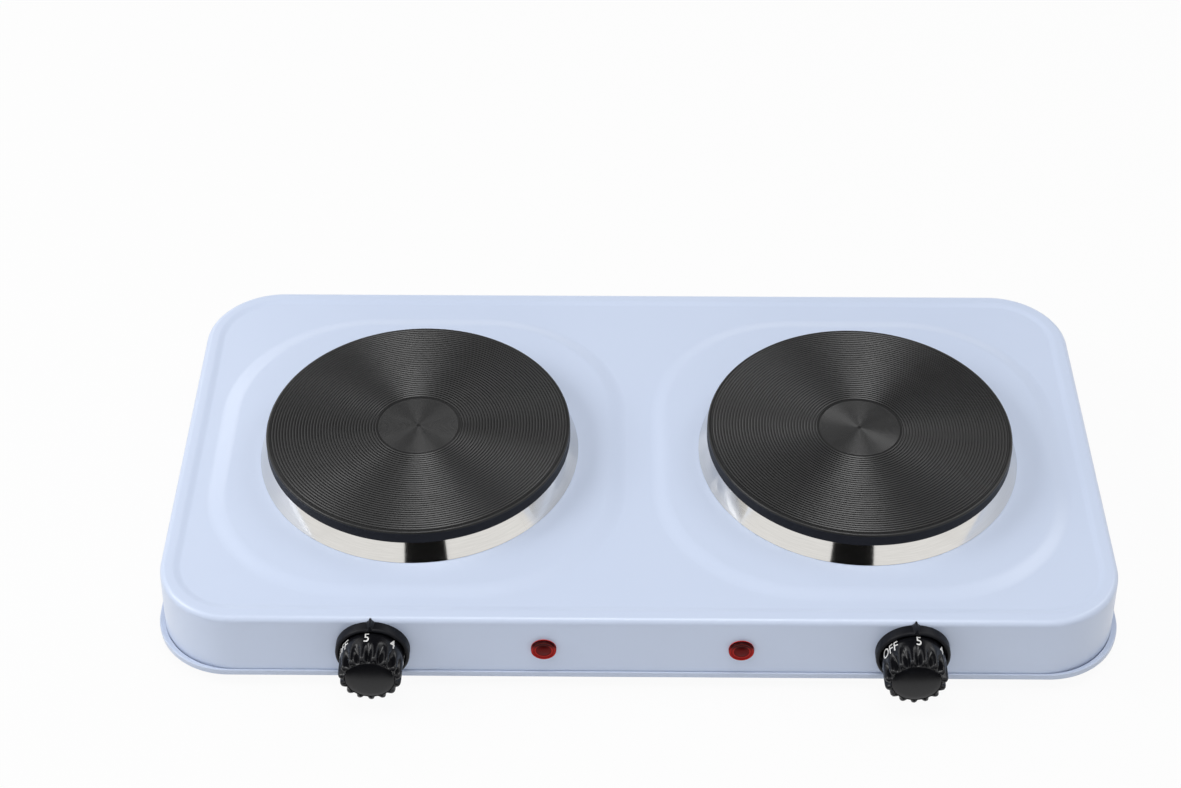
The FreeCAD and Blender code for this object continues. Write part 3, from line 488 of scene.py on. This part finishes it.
shellLow, shellHigh = nodeBox("housing")
shell = {"length": shellHigh[0] - shellLow[0], "depth": shellHigh[1] - shellLow[1],
         "y": nodeMiddle("housing")[1], "front": shellLow[1], "back": shellHigh[1], "foot": shellLow[2],
         "wallHeight": 37.2, "corner": 39, "cornerSteps": 28, "edge": 3.0, "edgeSteps": 9, "sheet": 0.7,
         "flare": 1.6, "waist": 4.2, "kick": 0.2, "crest": 6.0, "step": 10.2, "drop": 0.8, "land": 10.6,
         "stepCuts": 8, "topArea": 0.05, "smooth": 32,
         "bushHole": 5.15, "lampHole": 5.05, "screwHole": 1.65, "screwApart": 10, "glandHole": 7.05}
shell["rim"] = shell["foot"] + shell["wallHeight"]
seat = {"length": 213, "corner": 78, "slope": 10.5, "back": 2, "cuts": 10, "cornerSteps": 24,
        "level": shellHigh[2], "hole": 72.5, "lip": 2.4, "lipRound": ((1.2, 0), (0.35, 0.35), (0, 1.2)),
        "steps": 160}


def easedInset(width, rise, cuts):  # insets the selected face in small steps, easing up or down
    for step in range(cuts):
        lift = rise * (ramp((step + 1) / cuts) - ramp(step / cuts))
        bpy.ops.mesh.inset(thickness=width / cuts * mm, depth=lift * mm)


def makeSeat(side, panel):  # the raised seat of one burner, open where the ring covers it
    raised = roundedSheet(sideName("seat", side), seat["length"], seat["length"], seat["corner"],
                          seat["cornerSteps"], burner[side], burner["y"] + seat["back"], panel)
    easedInset(seat["slope"], seat["level"] - panel, seat["cuts"])
    bpy.ops.mesh.delete(type="ONLY_FACE")
    leaveEdit()
    hole, level = seat["hole"], seat["level"]
    section = [(hole + out, level - down) for out, down in seat["lipRound"]]
    lip = turned("seatLip", section + [(hole, level - seat["lip"])], seat["steps"])
    move(lip, burner[side], burner["y"])
    weld(raised, lip)
    return raised


def fillLevel(piece, level):  # closes the flat sheet between the open edges at this height
    pick(piece, "EDGE", lambda edge: edge.is_boundary and all(abs(vert.co.z - level * mm) < levelGap
                                                              for vert in edge.verts))
    bpy.ops.mesh.fill(use_beauty=True)


def makeHousing():
    housing = roundedSheet("housingShell", shell["length"], shell["depth"], shell["corner"],
                           shell["cornerSteps"], 0, shell["y"], shell["foot"])
    tall = shell["rim"] - shell["foot"]
    for rise in (shell["waist"], tall - shell["waist"]):
        bpy.ops.mesh.extrude_region_move(TRANSFORM_OT_translate={"value": (0, 0, rise * mm)})
    bpy.ops.mesh.region_to_loop()
    bpy.ops.mesh.bevel(offset=shell["edge"] * mm, segments=shell["edgeSteps"], affect="EDGES")
    low = shell["foot"] * mm + levelGap
    pick(housing, "FACE", lambda face: all(vert.co.z < low for vert in face.verts))
    bpy.ops.mesh.delete(type="ONLY_FACE")
    bend = shell["length"] / 2 - shell["corner"]
    waist = shell["foot"] + shell["waist"]
    for level, share in ((shell["foot"], 1), (waist, 1 - shell["waist"] / tall)):
        for sign in (-1, 1):  # the ends flare a little towards the foot
            pick(housing, "VERT", lambda vert: abs(vert.co.z - level * mm) < levelGap
                 and sign * vert.co.x > bend * mm)
            bpy.ops.transform.resize(value=(1 + share * shell["flare"] / shell["corner"], 1, 1),
                                     center_override=(sign * bend * mm, 0, 0))
    turn = shell["front"] + shell["corner"]  # the front foot kicks forward
    pick(housing, "VERT", lambda vert: vert.co.z < low and vert.co.y < turn * mm)
    bpy.ops.transform.resize(value=(1, 1 + shell["kick"] / shell["corner"], 1),
                             center_override=(0, turn * mm, 0))
    pick(housing, "FACE", lambda face: face.calc_area() > shell["topArea"])  # the top
    bpy.ops.mesh.inset(thickness=(shell["crest"] - shell["edge"]) * mm)
    easedInset(shell["step"] - shell["crest"], -shell["drop"], shell["stepCuts"])
    bpy.ops.mesh.inset(thickness=(shell["land"] - shell["step"]) * mm)
    bpy.ops.mesh.delete(type="ONLY_FACE")
    leaveEdit()

    panel = shell["rim"] - shell["drop"]
    weld(housing, *[makeSeat(side, panel) for side in sides])
    editPiece(housing)
    fillLevel(housing, panel)
    fillLevel(housing, seat["level"])
    tidyMesh()
    leaveEdit()
    applyModifier(housing, "SOLIDIFY", thickness=shell["sheet"] * mm, offset=-1, use_even_offset=True)

    rods = [drillRod("glandHole", shell["glandHole"], 0, shell["back"], glandZ, "Y")]
    for side in sides:
        holes = [("lampHole", lamp[side], lamp["z"]), ("bushHole", dial[side], dial["z"])]
        holes += [("screwHole", dial[side] + hand * shell["screwApart"], dial["z"]) for hand in (-1, 1)]
        rods += [drillRod(name, shell[name], x, shell["front"], z, "Y") for name, x, z in holes]
    cutAway(housing, rods)
    smooth(housing, shell["smooth"])
    applyModifier(housing, "WEIGHTED_NORMAL", keep_sharp=True)
    dress(housing, "housing_paint", "chassis", "housing")


makeHousing()
print("housing made")


# base pan with an edge bead, a lip folded in, vent slots and screw holes

panLow, panHigh = nodeBox("base_pan")
pan = {"length": panHigh[0] - panLow[0], "proud": 0.2, "y": nodeMiddle("base_pan")[1], "corner": 38.5,
       "floor": panLow[2], "lip": panHigh[2] - panLow[2], "hem": (2.8, 0.9), "beadWidth": 5, "bead": 0.9,
       "sheet": 0.8, "foldAngle": 1, "bend": 0.6, "bendSteps": 5, "rounding": 0.2, "roundSteps": 3,
       "roundAngle": 50, "smooth": 40, "slots": 7, "slotPitch": 14, "slotWidth": 4, "slotLength": 44,
       "slotTall": 6, "slotRound": 0.49, "slotSteps": 6, "footX": 198.3, "footY": 95.5, "screwX": 171.65,
       "screwY": 116.3, "hole": 2.15}
pan["depth"] = panHigh[1] - panLow[1] + 2 * pan["proud"]


def slotCutter():  # one rounded slot, stood through the floor of the pan
    cutter = freshPiece("ventSlot", bpy.ops.mesh.primitive_cube_add, size=1)
    editPiece(cutter)
    size = (pan["slotWidth"] * mm, pan["slotLength"] * mm, pan["slotTall"] * mm)
    bpy.ops.transform.resize(value=size, center_override=(0, 0, 0))
    pick(cutter, "EDGE", lambda edge: abs(edge.verts[0].co.z - edge.verts[1].co.z) > levelGap)
    bpy.ops.mesh.bevel(offset=pan["slotRound"] * pan["slotWidth"] * mm, segments=pan["slotSteps"],
                       affect="EDGES")
    leaveEdit()
    return cutter


def makePan():
    tray = roundedSheet("basePan", pan["length"], pan["depth"], pan["corner"], shell["cornerSteps"],
                        0, pan["y"], pan["floor"] - pan["bead"])
    bpy.ops.mesh.inset(thickness=pan["beadWidth"] * mm)
    bpy.ops.mesh.inset(thickness=pan["bead"] * mm, depth=pan["bead"] * mm)
    bpy.ops.mesh.select_all(action="SELECT")
    bpy.ops.mesh.region_to_loop()
    rise = pan["lip"] + pan["bead"]
    bpy.ops.mesh.extrude_edges_move(TRANSFORM_OT_translate={"value": (0, 0, rise * mm)})
    bpy.ops.mesh.extrude_edges_move(TRANSFORM_OT_translate={"value": (0, 0, 0)})
    hemX, hemY = pan["hem"]  # the lip folds in towards the housing
    bpy.ops.transform.resize(value=(1 - 2 * hemX / pan["length"], 1 - 2 * hemY / pan["depth"], 1),
                             center_override=(0, pan["y"] * mm, 0))
    pick(tray, "EDGE", lambda edge: len(edge.link_faces) == 2 and edge.calc_face_angle() > pan["foldAngle"])
    bpy.ops.mesh.bevel(offset=pan["bend"] * mm, segments=pan["bendSteps"], affect="EDGES")
    tidyMesh()
    leaveEdit()
    applyModifier(tray, "SOLIDIFY", thickness=pan["sheet"] * mm, offset=-1, use_even_offset=True)
    applyModifier(tray, "BEVEL", width=pan["rounding"] * mm, segments=pan["roundSteps"], limit_method="ANGLE",
                  angle_limit=math.radians(pan["roundAngle"]))

    cutters = []
    slot = slotCutter()
    for side, sign in zip(sides, (-1, 1)):
        for index in range(pan["slots"]):
            x = burner[side] + (index - (pan["slots"] - 1) / 2) * pan["slotPitch"]
            cutters.append(twin(slot, "ventSlot", x, burner["y"], pan["floor"]))
        for way in (-1, 1):
            for x, y in ((pan["footX"], pan["footY"]), (pan["screwX"], pan["screwY"])):
                cutters.append(drillRod("panHole", pan["hole"], sign * x, pan["y"] + way * y,
                                        pan["floor"], "Z"))
    bpy.data.objects.remove(slot)
    cutAway(tray, cutters)
    smooth(tray, pan["smooth"])
    applyModifier(tray, "WEIGHTED_NORMAL", keep_sharp=True)
    dress(tray, "pan_paint", "chassis", "base_pan")


makePan()
print("base pan made")


# burners: a turned plate with ring grooves, on a polished spill ring

plate = {"radius": 77.5, "grooves": 36, "first": 22.4, "pitch": 1.5, "depth": 0.3, "mouth": 0.66,
         "floor": 0.12, "lines": 33, "lineFirst": 1.0, "linePitch": 0.6, "lineDepth": 0.13, "edge": 1.2,
         "edgeSteps": 8, "underRound": 0.4, "casting": 70, "castingDepth": 10, "channel": (64, 15),
         "roof": 0.5, "rib": (42, 38), "ribDepth": 6, "stud": 4.05, "studTop": 1.2, "steps": 208,
         "smooth": 20}
ring = {"foot": 81.5, "footRound": 0.25, "top": 76.9, "topRound": 0.5, "topFold": 0.15, "bore": 71.5,
        "sheet": 0.8, "steps": 208, "smooth": 40}


def plateFace():  # the turned top from the middle out: fine lines, grooves and the rounded edge
    top, edge, rim = burner["top"], plate["edge"], plate["radius"] - plate["edge"]
    face = [(0, top)]
    for index in range(plate["lines"]):
        crest = plate["lineFirst"] + index * plate["linePitch"]
        face += [(crest, top), (crest + plate["linePitch"] / 2, top - plate["lineDepth"])]
    for index in range(plate["grooves"]):
        middle = plate["first"] + index * plate["pitch"]
        sunk = top - plate["depth"]
        face += [(middle - plate["mouth"], top), (middle - plate["floor"], sunk),
                 (middle + plate["floor"], sunk), (middle + plate["mouth"], top)]
    for step in range(plate["edgeSteps"] + 1):
        angle = math.pi / 2 * step / plate["edgeSteps"]
        face.append((rim + edge * math.sin(angle), top - edge + edge * math.cos(angle)))
    return face


def plateUnderside():  # from the side in to the middle: the casting's wall, the channel and its rib
    under, rim = burner["seat"], plate["radius"]
    outer, inner = plate["channel"]
    ribOuter, ribInner = plate["rib"]
    roof, floor, ribEnd = under + plate["roof"], under - plate["castingDepth"], under - plate["ribDepth"]
    well, turn = under - plate["studTop"], plate["underRound"]
    return [(rim, under + turn), (rim - turn, under), (plate["casting"], under), (plate["casting"], floor),
            (outer, floor), (outer, roof), (ribOuter, roof), (ribOuter, ribEnd), (ribInner, ribEnd),
            (ribInner, roof), (inner, roof), (inner, floor), (plate["stud"], floor), (plate["stud"], well),
            (0, well)]


def ringBand():  # the spill ring's section: a cone with a turned-in top
    low, high, sheet = seat["level"], burner["seat"], ring["sheet"]
    foot, top, bore = ring["foot"], ring["top"], ring["bore"]
    turn, roll, fold = ring["footRound"], ring["topRound"], ring["topFold"]
    return [(foot - sheet, low), (foot - turn, low), (foot, low + turn), (top, high - roll),
            (top - fold, high - fold), (top - roll, high), (bore, high), (bore, high - sheet),
            (top - sheet, high - sheet)]


def shadePlateSide(piece):  # the plate's side and underside get a darker, less glossy copy of the iron; the darker colour is painted shade
    piece.data.materials.append(finishes["shaded_plate_side"])
    editPiece(piece)
    under = (burner["top"] - plate["edge"]) * mm
    pick(piece, "FACE", lambda face: face.calc_center_median().z < under)
    piece.active_material_index = 1
    bpy.ops.object.material_slot_assign()
    leaveEdit()


def makePair(word, piece, apart, finish, node, bodies=("chassis", "chassis")):  # a piece and its right twin
    pair = (piece, twin(piece, sideName(word, "right"), apart))
    for side, made, body in zip(sides, pair, bodies):
        dress(made, finish, body, f"{node}_{side}")
    return pair


def makeBurners():
    apart = burner["right"] - burner["left"]
    hotplate = turned("hotplateLeft", plateFace() + plateUnderside(), plate["steps"])
    smooth(hotplate, plate["smooth"])
    move(hotplate, burner["left"], burner["y"])
    for piece in makePair("hotplate", hotplate, apart, "cast_iron", "hotplate"):
        shadePlateSide(piece)
    spillRing = turned("spillRingLeft", ringBand(), ring["steps"], closed=True)
    smooth(spillRing, ring["smooth"])
    move(spillRing, burner["left"], burner["y"])
    makePair("spillRing", spillRing, apart, "stainless", "spill_ring")


makeBurners()
print("burners made")


# dial bezels, knobs and their numbers, drawn round an axis that comes out of the front wall

bezel = {"radius": 17.9, "height": 5.4, "wall": 1.6, "floor": 1.6, "bore": 5.3, "foot": -15.7,
         "round": ((0, 1.1), (0.15, 0.5), (0.6, 0.1), (1.1, 0)), "innerRound": ((0.1, 0.12), (0, 0.45)),
         "screwHole": 1.65, "screwX": 10, "steps": 144, "smooth": 35,
         "nib": ((-4.2, 16.9), (-2.2, 17.7), (-0.95, 19.0), (-0.35, 20.6), (0.35, 20.6), (0.95, 19.0),
                 (2.2, 17.7), (4.2, 16.9)),
         "nibProud": 0.05, "narrow": 0.45, "nibRound": 0.15, "nibSteps": 2, "nibAngle": 35}
knob = {"lobes": 15, "perLobe": 16, "skirt": 15.3, "fluteDepth": 3.0, "fluteStart": 10.0, "fluteEnd": 16.2,
        "fluteShape": 1.5, "core": 11.95, "gripInside": 12.2, "smooth": 45,
        "grip": ((15.3, 9.5), (15.3, 11), (15.3, 13), (15.3, 15), (15.28, 17), (15.2, 18.6), (15.0, 19.6),
                 (14.55, 20.4), (13.7, 20.85), (12.7, 21.0)),
        "inside": ((0, 14.65), (3.05, 14.65), (3.05, 3.0), (5.5, 3.0), (5.5, 6.2), (13.4, 6.2), (13.4, 2.2),
                   (15.0, 2.2), (15.3, 2.5), (15.3, 5.5), (15.3, 8)),
        "cap": ((12.1, 20.6), (11.95, 20.5), (11.8, 20.75), (11.3, 20.95), (9, 21.16), (6, 21.3), (3, 21.38),
                (0, 21.4))}
label = {"words": ("OFF", "5", "4", "3", "2", "1"), "angles": (-58.5, 0, 50, 100, 150, 200),
         "shift": {"left": -5.5, "right": 3.5}, "size": 6.1, "tall": 1.22, "bold": 0.04, "out": 8.0,
         "cuts": 3, "lift": 0.5, "gap": 0.01, "ink": 0.05}


def makeBezel():
    rim, tall = bezel["radius"], bezel["height"]
    inner = rim - bezel["wall"]
    profile = [(bezel["bore"], 0), (rim, 0)]
    profile += [(rim - back, tall - down) for back, down in bezel["round"]]
    profile += [(inner + out, tall - down) for out, down in bezel["innerRound"]]
    profile += [(inner, bezel["floor"]), (bezel["bore"], bezel["floor"])]
    piece = turned("bezelLeft", profile, bezel["steps"], "-Y", closed=True)
    editPiece(piece)
    pickAll()
    bpy.ops.mesh.bisect(plane_co=(0, 0, bezel["foot"] * mm), plane_no=(0, 0, -1), use_fill=True,
                        clear_outer=True)
    leaveEdit()
    cutAway(piece, [drillRod("screwHole", bezel["screwHole"], hand * bezel["screwX"], 0, 0, "Y")
                    for hand in (-1, 1)])

    nib = drawChain("nib", [(x * mm, 0, z * mm) for x, z in bezel["nib"]])
    bpy.ops.mesh.edge_face_add()
    reach = tall + bezel["nibProud"]
    bpy.ops.mesh.extrude_region_move(TRANSFORM_OT_translate={"value": (0, -reach * mm, 0)})
    bpy.ops.transform.resize(value=(bezel["narrow"], 1, 1), center_override=(0, 0, 0))  # narrows to a ridge
    tidyMesh()
    leaveEdit()
    applyModifier(nib, "BEVEL", width=bezel["nibRound"] * mm, segments=bezel["nibSteps"],
                  limit_method="ANGLE", angle_limit=math.radians(bezel["nibAngle"]))
    weld(piece, nib)
    smooth(piece, bezel["smooth"])
    return piece


def fluteClass(vert):  # steps away from the nearest flute's middle
    step = 2 * math.pi / (knob["lobes"] * knob["perLobe"])
    count = round(math.atan2(vert.co.x, vert.co.z) / step) % knob["perLobe"]
    return min(count, knob["perLobe"] - count)


def makeKnob():
    profile = list(knob["inside"]) + list(knob["grip"]) + list(knob["cap"])
    piece = turned("knobLeft", profile, knob["lobes"] * knob["perLobe"], "-Y")
    editPiece(piece)
    reach = knob["fluteEnd"] - knob["fluteStart"]
    for radius, out in knob["grip"]:  # each ring of the grip is drawn in at the flutes
        deep = knob["fluteDepth"] * ramp((out - knob["fluteStart"]) / reach)
        for away in range(knob["perLobe"] // 2):
            share = (0.5 + 0.5 * math.cos(2 * math.pi * away / knob["perLobe"])) ** knob["fluteShape"]
            drawn = max(knob["core"], radius - deep * share) / radius
            pick(piece, "VERT", lambda vert: abs(vert.co.y + out * mm) < levelGap and fluteClass(vert) == away
                 and vert.co.x ** 2 + vert.co.z ** 2 > (knob["gripInside"] * mm) ** 2)
            bpy.ops.transform.resize(value=(drawn, 1, drawn), center_override=(0, 0, 0))
    tidyMesh()
    leaveEdit()
    smooth(piece, knob["smooth"])
    return piece


def makeLabels(skirt, side):
    made = []
    for word, angle in zip(label["words"], label["angles"]):
        selectNone()
        bpy.ops.object.text_add(location=(0, 0, 0))
        text = bpy.context.object
        text.data.body = word
        text.data.size = label["size"] * mm
        text.data.offset = label["bold"] * mm
        text.data.align_x = "CENTER"
        text.data.align_y = "CENTER"
        bpy.ops.object.convert(target="MESH")
        mark = bpy.context.object
        mark.name = "mark" + word
        editPiece(mark)
        pickAll()
        bpy.ops.mesh.remove_doubles(threshold=weldGap)
        bpy.ops.mesh.quads_convert_to_tris()
        bpy.ops.mesh.subdivide(number_cuts=label["cuts"])
        leaveEdit()
        mark.scale = (1, label["tall"], 1)
        move(mark, 0, -label["out"], knob["skirt"] + label["lift"])
        applyModifier(mark, "SHRINKWRAP", target=skirt, wrap_method="PROJECT", use_project_z=True,
                      use_negative_direction=True, use_positive_direction=False, offset=label["gap"] * mm)
        applyModifier(mark, "SOLIDIFY", thickness=label["ink"] * mm, offset=1)
        mark.rotation_euler = (0, math.radians(label["shift"][side] + angle), 0)
        settle()
        made.append(mark)
    weld(made[0], *made[1:])
    namePiece(made[0], sideName("dialNumbers", side))
    move(made[0], dial[side], shell["front"], dial["z"])
    dress(made[0], "ink", side + "_knob")


def makeControls():
    bezelLeft, knobLeft = makeBezel(), makeKnob()
    for side in sides:
        makeLabels(knobLeft, side)
    apart = dial["right"] - dial["left"]
    for piece in (bezelLeft, knobLeft):
        move(piece, dial["left"], shell["front"], dial["z"])
    makePair("bezel", bezelLeft, apart, "dark_plastic", "dial_bezel")
    makePair("knob", knobLeft, apart, "black_plastic", "knob", ("left_knob", "right_knob"))


makeControls()
print("controls made")


# pilot lamps

lens = {"steps": 72, "smooth": 40, "profile": (
    (0, 2.06), (1.2, 2.05), (1.9, 1.97), (2.8, 1.78), (3.5, 1.62), (3.85, 1.7), (4.05, 1.75), (4.25, 1.69),
    (4.6, 1.63), (5.2, 1.9), (5.5, 2.05), (5.8, 2.0), (6.05, 1.75), (6.15, 1.3), (6.2, 0.5), (6.2, 0.05),
    (6.1, 0), (4.9, 0), (4.9, -10), (3.1, -10), (3.1, 0.05), (1.75, 1.85), (0, 1.85))}


def makeLamps():
    piece = turned("pilotLensLeft", lens["profile"], lens["steps"], "-Y")
    smooth(piece, lens["smooth"])
    move(piece, lamp["left"], shell["front"], lamp["z"])
    makePair("pilotLens", piece, lamp["right"] - lamp["left"], "red_lens", "pilot_lens")


makeLamps()
print("lamps made")


# rubber feet and the cord gland

foot = {"profile": ((2.15, 8), (8.75, 8), (9, 7.7), (8.2, 2.6), (7.75, 0.7), (7.55, 0.25), (7.1, 0), (5.1, 0),
                    (4.75, 0.15), (4.6, 0.5), (4.6, 4.5), (2.15, 4.5)), "steps": 64, "smooth": 35}
gland = {"profile": ((4.0, -9), (4.0, 7.4), (4.35, 7.9), (4.7, 8), (5.3, 7.9), (5.6, 7.55), (5.75, 6.7),
                     (5.45, 6.4), (5.5, 6.0), (6.05, 5.7), (6.1, 5.2), (5.8, 4.9), (5.85, 4.5), (6.4, 4.2),
                     (6.45, 3.6), (6.9, 2.7), (7.3, 2.5), (9.1, 2.5), (9.4, 2.35), (9.5, 2.0), (9.5, 0),
                     (6.9, 0), (6.9, -9)), "steps": 72, "smooth": 35}


def makeFeetAndGland():
    pattern = turned("footPattern", foot["profile"], foot["steps"], closed=True)
    smooth(pattern, foot["smooth"])
    for end in ("front", "back"):
        for side in sides:
            node = f"foot_{end}_{side}"
            x, y = nodeMiddle(node)[:2]
            dress(twin(pattern, sideName("foot" + end.capitalize(), side), x, y), "rubber", "chassis", node)
    bpy.data.objects.remove(pattern)
    piece = turned("cordGland", gland["profile"], gland["steps"], "Y", closed=True)
    smooth(piece, gland["smooth"])
    move(piece, 0, shell["back"], glandZ)
    dress(piece, "dark_plastic", "chassis", "cord_gland")


makeFeetAndGland()
print("feet and gland made")


# the frame's own nodes that stay in view get the finish of their slot

def dressNodes():
    for name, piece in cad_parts.items():
        if piece.hide_render:
            continue
        slot = piece.data.materials[0].name.split(".")[0]
        if slot not in finishes:
            print("no finish for", name, slot)
            continue
        piece.data.materials.clear()
        piece.data.materials.append(finishes[slot])


dressNodes()
print("nodes dressed")


# camera, placed in millimetres, and the floor and studio light, in metres

shot = {"at": (-15.25, -851.31, 844.40), "lens": 69.06, "sensor": 36, "nearest": 0.01, "down": 41.663,
        "turn": 0.594, "roll": -0.0904}
studio = {"sky": 0.36, "floor": 0.72, "glow": 0.94, "floorSize": 9, "floorDrop": 0.0002, "felt": 0.01,
          "behindCard": "frontPanel",
          "lamps": (("keyPanel", (-1.45, -0.15, 1.12), 0.9, 11.8),  # name, place, size and power
                    ("topPanel", (0.05, -0.35, 1.7), 0.7, 9.7),
                    ("frontPanel", (0.01, -1.6, 0.4), 0.5, 2.0),
                    ("sideStrip", (-0.65, 0.96, 0.67), 0.35, 1.1),
                    ("fillPanel", (0.98, 0.5, 1.25), 0.7, 3.6)),
          "cards": (("floorCard", (0, -0.2825, 0.0004), (1.0, 0.235), False),  # the last is True if it stands
                    ("farCard", (0.01, -0.985, 0.0004), (0.42, 0.47), False),
                    ("cameraCard", (0.01, -1.22, 0.275), (0.56, 0.55), True),
                    ("ceilingCard", (0, 0.62, 2.35), (2.6, 1.4), False),
                    ("backCard", (0, 1.3, 1.45), (2.6, 1.9), True))}


def makeCamera():
    selectNone()
    bpy.ops.object.camera_add(location=[number * mm for number in shot["at"]])
    camera = bpy.context.object
    camera.name = "photoCamera"
    camera.data.sensor_fit = "HORIZONTAL"
    camera.data.sensor_width = shot["sensor"]
    camera.data.lens = shot["lens"]
    camera.data.clip_start = shot["nearest"]
    aim = Matrix.Rotation(math.radians(shot["turn"]), 3, "Z")
    aim = aim @ Matrix.Rotation(math.radians(90 - shot["down"]), 3, "X")
    aim = aim @ Matrix.Rotation(math.radians(shot["roll"]), 3, "Z")
    camera.rotation_euler = aim.to_euler()
    bpy.context.scene.camera = camera


def seenDirectly(add):  # 1 where the camera, a reflection or a clear piece looks at the surface
    path = add("LightPath").socket.node.outputs
    tree = path[0].node.id_data
    rays = [Wire(tree, path[key]) for key in ("Is Camera Ray", "Is Glossy Ray", "Is Transmission Ray")]
    return rays[0].maths("MAXIMUM", rays[0], rays[1].maths("MAXIMUM", rays[1], rays[2]))


def bareNodes(owner):  # empties the node tree and gives the method that adds to it
    owner.use_nodes = True
    owner.node_tree.nodes.clear()
    return Wire(owner.node_tree).node


def grey(level):
    return level, level, level, 1


def makeStage():
    world = bpy.data.worlds.new("studioSky")
    bpy.context.scene.world = world
    add = bareNodes(world)
    dim = add("Background", inputs={"Color": grey(1), "Strength": studio["sky"]})
    white = add("Background", inputs={"Color": grey(1), "Strength": 1.0})
    add("OutputWorld", inputs={"Surface": add("MixShader", inputs={0: seenDirectly(add), 1: dim, 2: white})})

    floor = freshPiece("studioFloor", bpy.ops.mesh.primitive_plane_add, size=studio["floorSize"],
                       location=(0, 0, -studio["floorDrop"]))
    paper = bpy.data.materials.new("floorPaper")
    add = bareNodes(paper)
    matte = add("BsdfDiffuse", inputs={"Color": grey(studio["floor"])})
    glow = add("Emission", inputs={"Color": grey(1), "Strength": 1.0})
    share = seenDirectly(add) * studio["glow"]
    add("OutputMaterial", inputs={"Surface": add("MixShader", inputs={0: share, 1: matte, 2: glow})})
    floor.data.materials.append(paper)

    for name, place, size, power in studio["lamps"]:
        bpy.ops.object.light_add(type="AREA", location=place)
        light = bpy.context.object
        light.name = name
        light.data.size = size
        light.data.energy = power
        light.visible_glossy = name != studio["behindCard"]  # this one stands behind the camera card
        light.rotation_euler = light.location.to_track_quat("Z", "Y").to_euler()


def makeCards():  # dark cards that only reflections see, as beside a studio camera
    felt = bpy.data.materials.new("cardFelt")
    add = bareNodes(felt)
    add("OutputMaterial", inputs={"Surface": add("BsdfDiffuse", inputs={"Color": grey(studio["felt"])})})
    for name, place, size, stands in studio["cards"]:
        turn = (math.pi / 2, 0, 0) if stands else (0, 0, 0)
        card = freshPiece(name, bpy.ops.mesh.primitive_plane_add, size=1, location=place, rotation=turn)
        card.scale = (*size, 1)
        settle()
        for ray in ("camera", "diffuse", "transmission", "volume_scatter", "shadow"):
            setattr(card, "visible_" + ray, False)
        card.data.materials.append(felt)


makeCamera()
makeStage()
makeCards()
bpy.context.scene.view_settings.view_transform = "Standard"
print("stage set")
